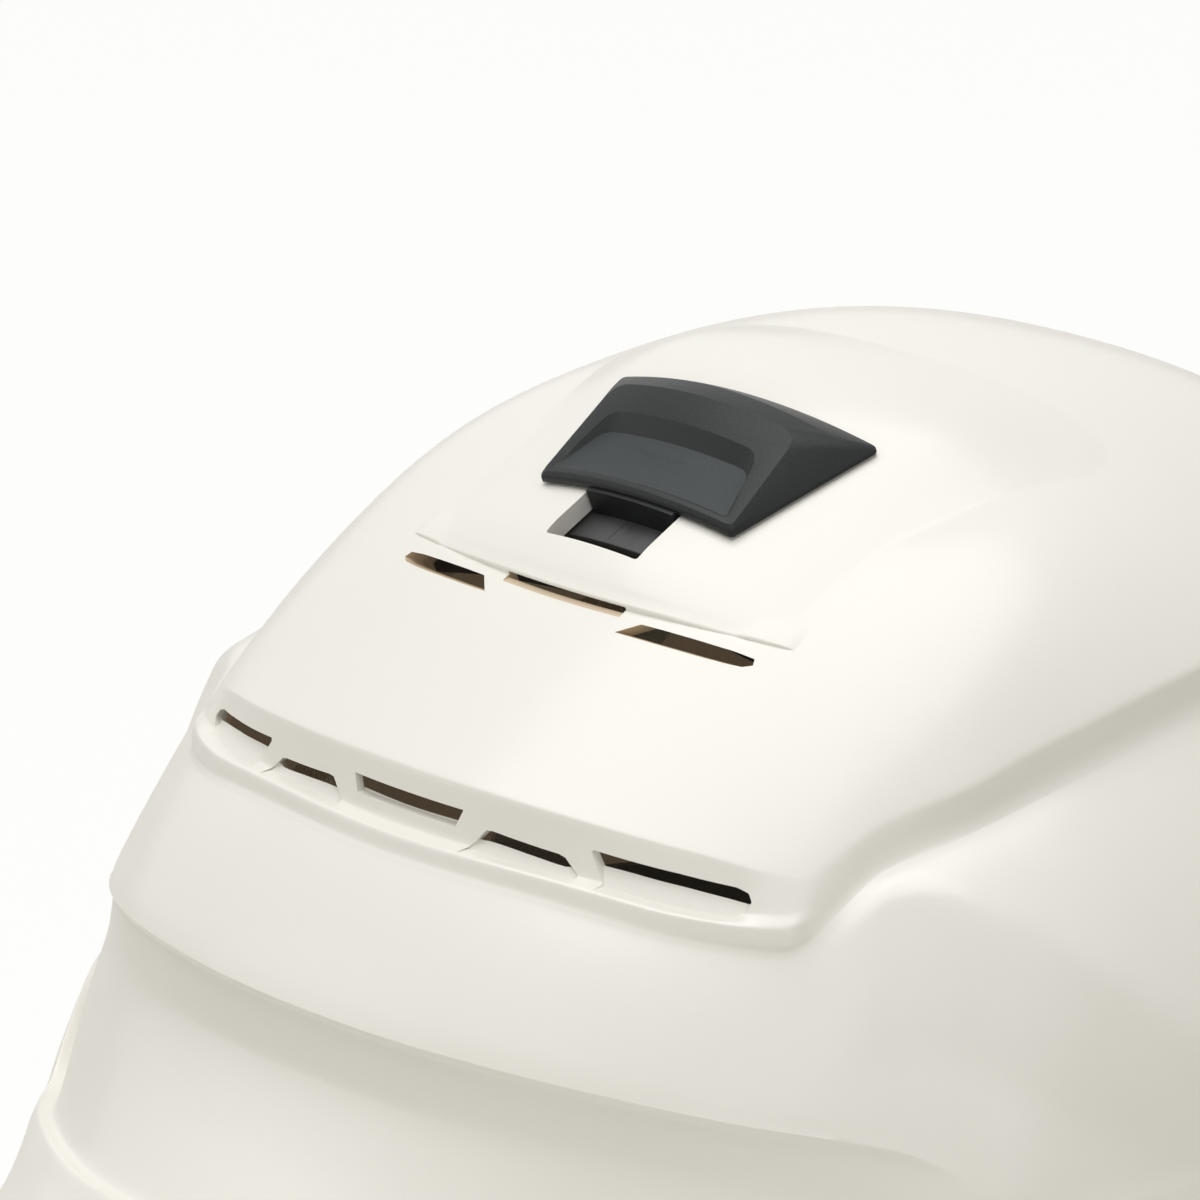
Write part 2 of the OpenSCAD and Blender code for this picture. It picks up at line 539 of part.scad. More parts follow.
sweat_t = 3;
module sweatband() {
    color("black") intersection() {
        translate([0, 0, -10]) linear_extrude(100)
            polygon(band_strip(-0.3 - sweat_t, -0.3, -50, 50, 24));
        slant_slab(band_h + 4);
    }
}

// Hanger: key in the shell's socket, bridge to the headband and a leg with a peg through the band
bridge_t = 3;
bridge_w = 10;
leg_t = 2;
strap_back = 12.5;
strap_t = 1;
module hanger(k) {
    q = band_hit(k[0]);
    n = band_normal(q);
    u = [sin(k[0]), -cos(k[0])];
    v = [cos(k[0]), sin(k[0])];
    w = [-n[1], n[0]];
    a = q + fit * n;
    o = [0, dome_y] + (wall_in(k, 0, 0) - key_back - 0.6) * u;
    low = k[1] - 3 - bridge_t;
    color("dimgray") {
        at_socket(k) translate([-key_back - key_t, -key_w / 2, -3.6]) cube([key_t, key_w, sock_h + 1.3]);
        translate([0, 0, low]) linear_extrude(bridge_t) polygon([
            o + v * bridge_w / 2, o - v * bridge_w / 2, a - w * bridge_w / 2, a + w * bridge_w / 2]);
        at_band(k, low) translate([fit, -bridge_w / 2, 0]) cube([leg_t, bridge_w, 15]);
        at_band(k, peg_z(k)) translate([-band_t - 0.8, 0, 0]) rotate([0, 90, 0])
            cylinder(r = peg_r, h = band_t + 1 + fit + leg_t / 2, $fn = 32);
    }
}
module hanger_front_left() { hanger(anchor_f); }
module hanger_front_right() { mirror([1, 0, 0]) hanger(anchor_f); }
module hanger_side_left() { hanger(anchor_s); }
module hanger_side_right() { mirror([1, 0, 0]) hanger(anchor_s); }
module hanger_rear_left() { hanger(anchor_r); }
module hanger_rear_right() { mirror([1, 0, 0]) hanger(anchor_r); }

// Webbing straps: each lies in one upright plane and crosses the others over the crown
strap_y = 31;
strap_gap = 0.35;
function strap_end(k, m) = let(r = wall_in(k, 0, 0) - strap_back)
    [m * r * sin(k[0]), dome_y - r * cos(k[0])];
function strap_side(l, h, z, d) = [for (i = [0:14]) let(t = 90 * i / 14)
    [(l - d) * pow(sin(t), 0.83), z + (h - d) * pow(cos(t), 0.9)]];
module strap(ka, ma, kb, mb, top) {
    a = strap_end(ka, ma);
    b = strap_end(kb, mb);
    c = [0, strap_y];
    la = norm(a - c);
    lb = norm(b - c);
    za = ka[1] - 3;
    zb = kb[1] - 3;
    function half(l, z, d) = strap_side(l, top - z, z, d);
    function flip(q) = [for (i = [len(q) - 1:-1:1]) [-q[i][0], q[i][1]]];
    under_a = half(la, za, strap_t);
    under_b = half(lb, zb, strap_t);
    color("white") translate([0, strap_y, 0]) rotate([0, 0, atan2(a[1] - strap_y, a[0])])
        rotate([90, 0, 0]) linear_extrude(strap_w, center = true)
            polygon(concat(flip(half(lb, zb, 0)), half(la, za, 0),
                [for (i = [14:-1:0]) under_a[i]],
                [for (i = [1:14]) [-under_b[i][0], under_b[i][1]]]));
}
module strap_c() { strap(anchor_s, 1, anchor_s, -1, strap_top); }
module strap_a() { strap(anchor_f, 1, anchor_r, -1, strap_top + strap_t + strap_gap); }
module strap_b() { strap(anchor_f, -1, anchor_r, 1, strap_top + 2 * (strap_t + strap_gap)); }

// Ratchet at the nape
case_y = 100;
case_z = case_h / 2;
case_t = 6.6;
cover_t = 4;
case_r = 9;
rack_y = case_y + 2.4;
rack_t = 4;
rack_reach = 38;
rack_back = -16;
tooth = 1;
tip = 0.8 * tooth;
root = 1.05 * tooth;
rack_body = 4.2;
n_teeth = 2 * pinion_r / tooth;
pitch = PI * tooth;
shaft_r = 3;
rack_travel = 6;
module upright(y0, t) {
    translate([0, y0 + t, case_z]) rotate([90, 0, 0]) linear_extrude(t) children();
}
module plate_outline(w, h, r) {
    square([w - 2 * r, h], center = true);
    square([w, h - 2 * r], center = true);
    for (x = [-1, 1]) for (y = [-1, 1])
        translate([x * (w / 2 - r), y * (h / 2 - r)]) circle(r, $fn = 48);
}
// Round bar along the knob's axis
module along_axis(y, r, h, n = 48) {
    translate([0, y, case_z]) rotate([-90, 0, 0]) cylinder(r = r, h = h, $fn = n);
}
module rack_channel() {
    translate([-case_w / 2 + 1.6, rack_y - 0.2, case_z + pinion_r - tip - 0.3])
        cube([case_w, rack_t + 10, tip + root + rack_body + 0.6]);
}
module ratchet_base() {
    color("dimgray") difference() {
        upright(case_y, case_t) plate_outline(case_w, case_h, case_r);
        rack_channel();
        translate([0, 0, 2 * case_z]) rotate([0, 180, 0]) rack_channel();
        along_axis(rack_y - 0.2, pinion_r + tip + 0.6, 20, 64);
        along_axis(case_y + 1.2, shaft_r + 0.05, 20);
    }
}
module ratchet_cover() {
    color("dimgray") difference() {
        upright(case_y + case_t + 0.05, cover_t) plate_outline(case_w, case_h, case_r);
        along_axis(case_y, shaft_r + 0.05, 30);
    }
}
module rack() {
    // Teeth point down to the pinion; a tooth gap is over the pinion's axis
    n = 8;
    teeth = [for (i = [-n:n - 1]) let(c = (i + 0.5) * pitch)
        each [[c - 1.12, root], [c - 0.42, -tip], [c + 0.42, -tip], [c + 1.12, root]]];
    inside = [for (q = teeth) if (q[0] > rack_back && q[0] < -rack_back) q];
    color("gray") translate([0, rack_y + rack_t, case_z + pinion_r])
        rotate([90, 0, 0]) linear_extrude(rack_t)
            polygon(concat([[rack_back, root + rack_body], [rack_back, root]], inside,
                [[rack_reach, root], [rack_reach, root + rack_body]]));
}
module rack_left() { rack(); }
module rack_right() { translate([0, 0, 2 * case_z]) rotate([0, 180, 0]) rack(); }

module pinion() {
    step = 360 / n_teeth;
    function pol(r, a) = [r * cos(a), r * sin(a)];
    half_tooth = [[pinion_r - root, 0.36], [pinion_r, 0.22], [pinion_r + tip, 0.1]];
    outline = [for (i = [0:n_teeth - 1]) let(a = 90 + i * step) each concat(
        [for (h = half_tooth) pol(h[0], a - h[1] * step)],
        [for (j = [2:-1:0]) pol(half_tooth[j][0], a + half_tooth[j][1] * step)])];
    color("gray") difference() {
        union() {
            translate([0, rack_y + rack_t, case_z]) rotate([90, 0, 0])
                linear_extrude(rack_t) polygon(outline);
            along_axis(case_y + 1.4, shaft_r, knob_y + 6 - case_y - 1.4);
        }
        along_axis(knob_y - 4, 1.3, 20, 32);
    }
}

knob_y = case_y + case_t + cover_t + 0.4;
knob_h = 13;
grips = 14;
module ratchet_knob() {
    color("black") difference() {
        union() {
            along_axis(knob_y, knob_d / 2 - 1.5, knob_h - 1.5, 96);
            along_axis(knob_y + 2, knob_d / 2, knob_h - 4, 96);
            translate([0, knob_y + knob_h - 2, case_z]) rotate([-90, 0, 0])
                cylinder(r1 = knob_d / 2, r2 = knob_d / 2 - 2, h = 2, $fn = 96);
        }
        for (i = [0:grips - 1]) translate([0, 0, case_z]) rotate([0, i * 360 / grips, 0])
            translate([knob_d / 2 + 1.6, knob_y - 1, 0]) rotate([-90, 0, 0])
                cylinder(r = 3, h = knob_h + 2, $fn = 32);
        along_axis(knob_y - 1, shaft_r + 0.05, 7.05);
        along_axis(knob_y, 1.5, 20, 32);
        along_axis(knob_y + 9, 4, 20);
    }
}
module knob_screw() {
    color("silver") translate([0, 0, case_z]) rotate([-90, 0, 0]) difference() {
        union() {
            translate([0, 0, knob_y + 9.05]) cylinder(r = 3, h = 1.8, $fn = 32);
            translate([0, 0, knob_y - 3]) cylinder(r = 1.25, h = 13, $fn = 32);
        }
        for (a = [0, 90]) rotate([0, 0, a]) translate([-2, -0.4, knob_y + 9.9]) cube([4, 0.8, 2]);
    }
}

// Nape arms: from the rear ends of the headband to the sides of the ratchet housing
arm_t = 1.8;
arm_low = 6;
arm_h = 17;
// The arm lies inside the headband, leaves it past its end and turns in to the housing's side
arm_out = concat([for (p = [124:4:140]) [p, -0.3]], [[146, -1.6], [150, -2.2]]);
function arm_path(g) = concat([for (q = arm_out) ell(q[1] - g, q[0])], [[case_w / 2 + 0.15, case_y + 1.9 - g]]);
module nape_arm() {
    back = arm_path(arm_t);
    color("dimgray") translate([0, 0, arm_low]) linear_extrude(arm_h)
        polygon(concat(arm_path(0), [for (i = [len(back) - 1:-1:0]) back[i]]));
}
module nape_arm_left() { nape_arm(); }
module nape_arm_right() { mirror([1, 0, 0]) nape_arm(); }

pad_t = 4.5;
module nape_pad() {
    color("black") upright(case_y - 0.05 - pad_t, pad_t) plate_outline(case_w - 6, case_h - 6, case_r - 2);
}

shell();
slider_button();
slider_carrier();
shutter_plate();
slider_screws();
strap_a();
strap_b();
strap_c();
hanger_front_left();
hanger_front_right();
hanger_side_left();
hanger_side_right();
hanger_rear_left();
hanger_rear_right();
headband();
sweatband();
nape_arm_left();
nape_arm_right();
nape_pad();
ratchet_base();
ratchet_cover();
rack_left();
rack_right();
pinion();
ratchet_knob();
knob_screw();
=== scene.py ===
"""Vented work helmet: the moulded shell, the vent slider and the head harness, dressed over the CAD frame."""
import math

import bmesh
import bpy
import numpy as np
from mathutils import Matrix, Vector


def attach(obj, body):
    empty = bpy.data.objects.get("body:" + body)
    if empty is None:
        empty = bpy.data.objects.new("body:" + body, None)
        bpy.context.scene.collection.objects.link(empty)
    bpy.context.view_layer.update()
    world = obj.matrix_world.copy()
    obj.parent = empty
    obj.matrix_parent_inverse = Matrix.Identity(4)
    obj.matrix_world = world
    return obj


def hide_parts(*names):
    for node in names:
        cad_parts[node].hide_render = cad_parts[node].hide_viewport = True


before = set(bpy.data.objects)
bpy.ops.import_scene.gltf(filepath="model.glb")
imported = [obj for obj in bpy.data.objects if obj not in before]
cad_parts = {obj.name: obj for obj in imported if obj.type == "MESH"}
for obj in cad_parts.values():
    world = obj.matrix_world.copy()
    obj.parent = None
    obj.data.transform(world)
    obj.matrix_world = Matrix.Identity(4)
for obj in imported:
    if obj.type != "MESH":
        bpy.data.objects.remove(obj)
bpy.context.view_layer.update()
MM = 0.001

# Sizes that the part's source gives the shell, in millimetres
DOME_HALF_W, DOME_HALF_L, DOME_H, DOME_POW = 108.0, 120.4, 125.8, 2.3
DOME_Y, DOME_Z, DOME_TILT = 17.4, 23.0, -25.13
SHELL_T, BONNET_RISE, HOLLOW_D = 2.8, 4.2, 3.2
SLIDE_O, SLIDE_TILT = np.array([0.0, -28.0, 145.1]), 24.5
FRONT_END, CROWN_OUT = 37.2, 0.9
CROWN_R, SKIN_T = 88.0, 3.0

# How much fuller the bonnet's shoulders are, and how far round they lie
SHOULDER_OUT, SHOULDER_AT = 2.2, 56
# Points along each spoke: the bonnet, the brow below its edge, and the inner face of the bonnet
BONNET_STEPS, BROW_STEPS, INNER_STEPS = 41, 31, 25

# Curves by plan angle from the front: elevations, shares, or a height and how far it stands off the dome
BONNET_FOOT = [[0, 38.2], [14, 38], [20, 37.6], [26, 37.05], [33, 36.85], [35, 37.05], [37, 38.9],
               [40, 41.7], [44, 43.8], [48, 45.4], [54, 47.6], [64, 50.4], [78, 52.7], [95, 53.4],
               [115, 52.3], [135, 50.4], [160, 48.8], [180, 48.5]]
BONNET_TOP = [[0, 43.2], [15, 42.7], [27, 41.8], [35.5, 41], [38, 42.6], [41, 44.6], [45, 46.2], [49, 47.4],
              [55, 49.6], [65, 52.2], [79, 54.4], [95, 55.1], [115, 54.1], [135, 52.3], [160, 51],
              [180, 50.7]]
BONNET_SHARE = [[0, 1], [15, 0.9], [27, 0.62], [35.5, 0.38], [45, 0.24], [60, 0.19], [95, 0.19], [130, 0.1],
                [180, 0]]
HOLLOW_SHARE = [[0, -0.06], [35, 0.2], [40, 0.42], [46, 0.72], [54, 1], [80, 1], [130, 0.6], [180, 0.35]]
CREASE_RISE = [[0, 0], [37, 0], [41, 0.3], [46, 1.5], [52, 2.4], [64, 2.7], [90, 1.0], [180, 0]]
CREASE_LINE = [[0, 36], [35, 36.2], [38, 38.2], [43, 41.3], [47, 40.6], [51, 39], [55, 37], [60, 34.6],
               [66, 30.8], [72, 28.6], [80, 27.2], [110, 26.5], [180, 26.5]]
LEDGE = [[0, 84.5, 3.8], [12, 84.3, 3.6], [24, 82.6, 2.5], [33, 79.8, 0.6], [40, 77.2, -1.0],
         [44, 75.1, -1.8], [48, 71.2, -2.0], [52, 67.4, -1.4], [60, 66, -1], [75, 70, -0.3], [110, 72, 0],
         [180, 76, 0]]
LEDGE_FOOT = [[0, 83, 1.5], [12, 82.8, 1.3], [24, 81.1, 0.5], [33, 78.2, -0.9], [40, 75.6, -2],
              [44, 73.5, -2.3], [48, 70, -2], [52, 66.2, -1.6], [60, 63, 0], [75, 66, 0], [110, 67, 0],
              [180, 71, 0]]
BAND_FOOT = [[0, 74.3, -2.2], [12, 74.3, -2.2], [24, 73.4, -2.6], [33, 70.8, -3], [40, 68, -3.3],
             [44, 65.5, -3], [48, 60.5, -2], [60, 58, 0], [75, 60, 0], [110, 60, 0], [180, 66, 0]]
GUTTER_IN = [[0, 66, 2], [12, 65.5, 1], [24, 64, -1], [33, 62, -2.2], [40, 58.5, -2.6], [44, 57.5, -2.2],
             [48, 59, -1.2], [60, 53, 0], [75, 52, 0], [110, 52, 0], [180, 60, 0]]
GUTTER_FOOT = [[0, 56.5, 10.8], [12, 54, 7.6], [24, 50, 2.4], [33, 45.6, -0.2], [40, 42.6, -1.2],
               [44, 47.5, -1.5], [48, 58, -1.4], [60, 47, 0.2], [75, 43, 0], [110, 44, 0], [180, 54, 0]]
LIP_TOP = [[0, 57.6, 14.3], [12, 55, 10.6], [24, 51, 5], [33, 46.6, 2.4], [40, 43.6, 1.4], [44, 49, 0.6],
           [48, 57, -0.4], [60, 42, 0.2], [75, 35, 0], [110, 36, 0], [180, 48, 0]]
LIP_OUT = [[0, 55, 16.6], [12, 52.5, 12.6], [24, 48.5, 6.6], [33, 44, 3.6], [40, 41, 2.4], [44, 46.5, 1.4],
           [48, 55, 0], [60, 36, 0.4], [75, 27, 0.2], [110, 28, 0.2], [180, 42, 0]]
PEAK_MID = [[0, 47, 25.6], [12, 44.6, 21], [24, 38, 13], [33, 33, 6.2], [40, 29, 3.2], [44, 30, 2.2],
            [48, 33, 1.2], [60, 20, 1.2], [75, 14, 0.8], [110, 14, 0.8], [135, 21, 0.6], [180, 37, 0.4]]
RIM_TOP = [[0, 39.5, 34.9], [12, 36.8, 31.6], [24, 29.5, 22.6], [33, 24, 14.4], [40, 19.5, 8.8],
           [44, 16.8, 6.6], [48, 13.8, 5.2], [60, 6, 3.4], [75, 3.2, 2.2], [110, 3.2, 2.2], [135, 11.2, 2],
           [180, 29.2, 1.6]]
RIM_LOW = [[0, 36.5, 35.5], [12, 33.8, 32.2], [24, 26.5, 23.1], [33, 21, 14.8], [40, 16.5, 9.1],
           [44, 13.8, 6.9], [48, 10.8, 5.5], [60, 3, 3.7], [68, 0.4, 3], [75, 0, 2.5], [110, 0, 2.5],
           [117, 0.8, 2.4], [135, 8, 2.2], [180, 26, 1.8]]
OUTER_RINGS = [LEDGE, LEDGE_FOOT, BAND_FOOT, GUTTER_IN, GUTTER_FOOT, LIP_TOP, LIP_OUT, PEAK_MID, RIM_TOP,
               RIM_LOW]
RING_ROUND = [0.3, 0.5, 1.6, 2.2, 0.8, 0.45, 0.6, 6.0, 0.8, 0.45]
INNER_RINGS = [LEDGE, BAND_FOOT, GUTTER_IN, GUTTER_FOOT, PEAK_MID, RIM_LOW]


def lerp(a, b, t):
    return a + (b - a) * t


def clamp01(x):
    return np.clip(x, 0.0, 1.0)


def ease(x):
    x = clamp01(x)
    return x * x * (3 - 2 * x)


def sind(a):
    return np.sin(np.radians(a))


def cosd(a):
    return np.cos(np.radians(a))


def table_curve(table, x, column=1):
    """Smooth curve through one column of a table, flat at both ends and without overshoot."""
    t = np.asarray(table, float)
    k, v = t[:, 0], t[:, column]
    h = np.diff(k)
    d = np.diff(v) / h
    m = np.zeros(len(k))
    inner = (d[:-1] * h[1:] + d[1:] * h[:-1]) / (h[:-1] + h[1:])
    limit = 3 * np.minimum(abs(d[:-1]), abs(d[1:]))
    m[1:-1] = np.where(d[:-1] * d[1:] <= 0, 0, np.sign(inner) * np.minimum(abs(inner), limit))
    q = np.clip(x, k[0], k[-1])
    i = np.clip(np.searchsorted(k, q, side="right") - 1, 0, len(k) - 2)
    s = (q - k[i]) / h[i]
    return ((2 * s ** 3 - 3 * s ** 2 + 1) * v[i] + (s ** 3 - 2 * s ** 2 + s) * h[i] * m[i]
            + (3 * s ** 2 - 2 * s ** 3) * v[i + 1] + (s ** 3 - s ** 2) * h[i] * m[i + 1])


# In the shell's functions p is the plan angle from the front, a its size and e the elevation, in degrees
def dome_r(p, e):
    dx, dy, dz = sind(p) * cosd(e), -cosd(p) * cosd(e), sind(e)
    y = cosd(DOME_TILT) * dy - sind(DOME_TILT) * dz
    z = sind(DOME_TILT) * dy + cosd(DOME_TILT) * dz
    total = abs(dx / DOME_HALF_W) ** DOME_POW + abs(y / DOME_HALF_L) ** DOME_POW + abs(z / DOME_H) ** DOME_POW
    return total ** (-1 / DOME_POW)


def dome_pt(p, e, out):
    r = dome_r(p, e) + out
    return np.stack([r * sind(p) * cosd(e), DOME_Y - r * cosd(p) * cosd(e), DOME_Z + r * sind(e)], -1)


def dome_rho(p, z):
    r = np.full(np.broadcast(p, z).shape, 115.0)
    for _ in range(14):
        e = np.degrees(np.arctan2(z - DOME_Z, r))
        r = 0.5 * r + 0.5 * dome_r(p, e) * cosd(e)
    return r


def wall_pt(p, z, out):
    r = dome_rho(p, z) + out
    return np.stack([r * sind(p), DOME_Y - r * cosd(p), z], -1)


def ledge_e(a):
    z = table_curve(LEDGE, a)
    return np.degrees(np.arctan2(z - DOME_Z, dome_rho(a, z)))


def edge_lines(a):
    """Elevations of edge, foot and ledge, how far edge and foot stand off, and the front's share."""
    return (table_curve(BONNET_TOP, a), table_curve(BONNET_FOOT, a), ledge_e(a),
            BONNET_RISE * table_curve(BONNET_SHARE, a), -HOLLOW_D * table_curve(HOLLOW_SHARE, a),
            ease((FRONT_END - a) / 1.8))


def brow_off(a, e):
    """How far the shell stands off the dome between the bonnet's foot and the brow ledge."""
    c, foot = table_curve(CREASE_LINE, a), table_curve(BONNET_FOOT, a)
    h = -HOLLOW_D * table_curve(HOLLOW_SHARE, a)
    low_out = table_curve(LEDGE, a, 2)
    front = lerp(h, low_out, clamp01((foot - e) / 11))
    t = clamp01((foot - e) / np.maximum(0.5, foot - c))
    side = lerp(lerp(h, table_curve(CREASE_RISE, a), t), low_out, clamp01((c - e) / 10))
    return lerp(front, side, ease((a - 36.5) / 5))


def bonnet_out(a, f, ot):
    """How far the bonnet stands off the dome at a share f of the way from crown to edge."""
    shoulder = np.exp(-((a - SHOULDER_AT) / 20) ** 2) * np.sin(np.pi * clamp01((f - 0.5) / 0.5)) ** 0.9
    return lerp(CROWN_OUT, ot, f ** 7) + SHOULDER_OUT * shoulder


def outer_controls(p):
    """Control points from the crown to the rim, one row for each spoke, and the rounding at each of them."""
    a = abs(p)
    edge, foot, ledge, edge_out, foot_out, front = edge_lines(a)
    rows, soft = [], []
    for f in np.linspace(0, 1, BONNET_STEPS):
        rows.append(dome_pt(p, lerp(90, edge, f), bonnet_out(a, f, edge_out)))
        soft.append(np.full_like(a, 0.5) if f < 1 else lerp(0.8, 0.25, front))
    flush = ease((a - 30.6) / 2.4)
    step = [(lerp(foot + 0.8, foot + 1.9, front), lerp(foot_out + 1, lerp(-0.3, 1.1, flush), front)),
            (lerp(foot + 0.2, foot + 1.0, front), lerp(foot_out + 0.2, 1.4, front)),
            (lerp(foot - 0.6, foot, front), lerp(foot_out, 0.3, front))]
    for e, out in step:
        rows.append(dome_pt(p, e, out))
        soft.append(lerp(1.3, 0.3, front))
    for f in np.linspace(0, 1, BROW_STEPS)[1:-1]:
        e = lerp(step[-1][0], ledge, f)
        rows.append(dome_pt(p, e, brow_off(a, e)))
        soft.append(np.full_like(a, 1.3) if f > 0.1 else lerp(1.8, 0.8, front))
    side = ease((a - 46) / 10)
    for ring, radius in zip(OUTER_RINGS, RING_ROUND):
        rows.append(wall_pt(p, table_curve(ring, a), table_curve(ring, a, 2)))
        at_rim = ring is RIM_TOP or ring is RIM_LOW
        soft.append(np.full_like(a, radius) if at_rim else lerp(radius, max(radius, 5.0), side))
    return np.stack(rows, 1), np.stack(soft, 1)


def inner_controls(p):
    """Control points of the inner face from the rim back up to the crown."""
    a = abs(p)
    edge, foot, ledge, edge_out, foot_out, front = edge_lines(a)
    thicker = lerp(1.5, 1, clamp01((a - 24) / 24))
    rows, soft = [], []
    for ring, share in zip(INNER_RINGS[::-1], (1, thicker, thicker, thicker, 1.05, 1.05)):
        rows.append(wall_pt(p, table_curve(ring, a), table_curve(ring, a, 2) - SHELL_T * share))
        soft.append(np.full_like(a, 0.45 if ring is RIM_LOW else 3.0))
    for f in (0.86, 0.62, 0.36, 0.14):
        e = lerp(foot, ledge, f)
        rows.append(dome_pt(p, e, brow_off(a, e) - SHELL_T))
        soft.append(np.full_like(a, 2.5))
    rows.append(dome_pt(p, lerp(foot + 0.3, foot + 1.6, front), lerp(foot_out, -0.3, front) - SHELL_T))
    soft.append(np.full_like(a, 1.2))
    for f in np.linspace(1, 0, INNER_STEPS):
        rows.append(dome_pt(p, lerp(90, edge, f), bonnet_out(a, f, edge_out) - SHELL_T))
        soft.append(np.full_like(a, 1.2 if f == 1 else 0.5))
    return np.stack(rows, 1), np.stack(soft, 1)


def rounded_profiles(ctrl, soft, u):
    """Resamples each spoke's control line at the positions u, rounding each corner by its own radius."""
    n = ctrl.shape[1]
    nodes = np.linspace(-2.4, 2.4, 13)
    weights = np.exp(-nodes ** 2 / 2)
    weights /= weights.sum()
    out = np.zeros((ctrl.shape[0], len(u), 3))
    for k in range(ctrl.shape[0]):
        s = np.concatenate([[0], np.cumsum(np.linalg.norm(np.diff(ctrl[k], axis=0), axis=1))])
        s_u = np.interp(u, np.arange(n), s)
        sigma = np.interp(s_u, s, soft[k])
        sigma = np.minimum(sigma, np.minimum(s_u, s[-1] - s_u) / 2.4)
        at = s_u[:, None] + sigma[:, None] * nodes[None, :]
        for c in range(3):
            out[k, :, c] = (np.interp(at, s, ctrl[k, :, c]) * weights).sum(1)
    return out


def spread(start, stop, per_step):
    """Positions between control points, closer together near each of them."""
    t = (1 - np.cos(np.pi * np.arange(per_step) / per_step)) / 2
    return np.concatenate([i + t for i in range(start, stop)])


def smooth_round(profiles, degrees_each, sigma):
    """Evens the profiles out round the helmet, so that no table knot shows as a flat."""
    at = np.cumsum(degrees_each) - degrees_each[0]
    out, total = np.zeros_like(profiles), np.zeros(len(degrees_each))
    for k in range(-8, 9):
        away = np.roll(at, -k) - at
        away = (away + 180) % 360 - 180
        w = np.exp(-(away / sigma) ** 2 / 2) * (np.roll(degrees_each, -k) + np.roll(degrees_each, 1 - k)) / 2
        out += np.roll(profiles, -k, 0) * w[:, None, None]
        total += w
    return out / total[:, None, None]


def add_object(name, data):
    obj = bpy.data.objects.new(name, data)
    bpy.context.scene.collection.objects.link(obj)
    return obj


def mesh_from(bm, name):
    mesh = bpy.data.meshes.new(name)
    bm.to_mesh(mesh)
    bm.free()
    return mesh


def ring_faces(n, m):
    """Faces between n closed rings of m points each."""
    return [(i * m + j, i * m + (j + 1) % m, (i + 1) * m + (j + 1) % m, (i + 1) * m + j)
            for i in range(n - 1) for j in range(m)]


def end_faces(n, m):
    return [tuple(range(m))[::-1], tuple(range((n - 1) * m, n * m))]


def new_object(name, verts, faces):
    """A mesh object from points in millimetres; a closed body's faces are turned to face out."""
    pts = np.asarray(verts, float)
    tri = np.array([(f[0], f[k], f[k + 1]) for f in faces for k in range(1, len(f) - 1)])
    a, b, c = pts[tri[:, 0]], pts[tri[:, 1]], pts[tri[:, 2]]
    if np.einsum("ij,ij->i", a - pts[0], np.cross(b - pts[0], c - pts[0])).sum() < 0:
        faces = [tuple(f)[::-1] for f in faces]
    mesh = bpy.data.meshes.new(name)
    mesh.from_pydata((pts * MM).tolist(), [], [list(f) for f in faces])
    mesh.validate()
    mesh.update()
    return add_object(name, mesh)


def apply_modifiers(obj):
    bpy.context.view_layer.update()
    graph = bpy.context.evaluated_depsgraph_get()
    mesh = bpy.data.meshes.new_from_object(obj.evaluated_get(graph))
    obj.modifiers.clear()
    old = obj.data
    obj.data = mesh
    bpy.data.meshes.remove(old)
    return obj


def combine(obj, other, operation):
    """Joins to, or cuts from, obj the closed body other, which is used up."""
    mod = obj.modifiers.new("combine", "BOOLEAN")
    mod.operation = operation
    mod.solver = "MANIFOLD"
    mod.material_mode = "TRANSFER"
    mod.object = other
    apply_modifiers(obj)
    bpy.data.objects.remove(other)
    return obj


def shade(obj, degrees=32):
    """Smooth shading with edges kept sharp past an angle."""
    for poly in obj.data.polygons:
        poly.use_smooth = True
    bm = bmesh.new()
    bm.from_mesh(obj.data)
    limit = math.radians(degrees)
    for edge in bm.edges:
        edge.smooth = not edge.is_manifold or edge.calc_face_angle(0) < limit
    bm.to_mesh(obj.data)
    bm.free()
    return obj


# Slide frame: x across, s up the crown along the slide, n off the slide plane
def slide_to_world(q):
    q = np.asarray(q, float)
    x, s, n = q[..., 0], q[..., 1], q[..., 2]
    return SLIDE_O + np.stack([x, s * cosd(SLIDE_TILT) - n * sind(SLIDE_TILT),
                               s * sind(SLIDE_TILT) + n * cosd(SLIDE_TILT)], -1)


def dome_n(x, s):
    """Height of the dome over the slide plane."""
    x, s = np.broadcast_arrays(np.asarray(x, float), np.asarray(s, float))
    n = np.full(x.shape, -5.0)
    for _ in range(9):
        q = slide_to_world(np.stack([x, s, n], -1)) - np.array([0, DOME_Y, DOME_Z])
        r = np.linalg.norm(q, axis=-1)
        e, a = np.degrees(np.arcsin(q[..., 2] / r)), np.degrees(np.arctan2(q[..., 0], -q[..., 1]))
        n = n - (r - dome_r(a, e) - CROWN_OUT)
    return n


def crown_n(x, d=0.0):
    return np.sqrt((CROWN_R + d) ** 2 - np.asarray(x, float) ** 2) - CROWN_R


def lip_s(x):
    return -25.2 + 4.8 * (np.asarray(x, float) / 34) ** 2


def platform_n(x, s):
    """Height of the platform: crowned across, dipping at its lip, easing into the dome beside and behind."""
    lip, dome = lip_s(x), dome_n(x, s)
    nose = 0.65 * (dome_n(x, lip) - crown_n(x)) * clamp01((-15 - s) / (-15 - lip)) ** 1.8
    rearward = ease((s + 10) / 22)
    begin, end = lerp(35.2, 25.6, rearward), lerp(38.8, 51, rearward)
    least = 0.9 * ease((abs(x) - 25) / 6) * (1 - ease((s + 19) / 9))
    share = (1 - ease((abs(x) - begin) / (end - begin))) * (1 - ease((s - 16.5) / 31))
    return dome + np.maximum(least, crown_n(x) + nose - dome) * share - 0.3 * (1 - ease(share / 0.1))


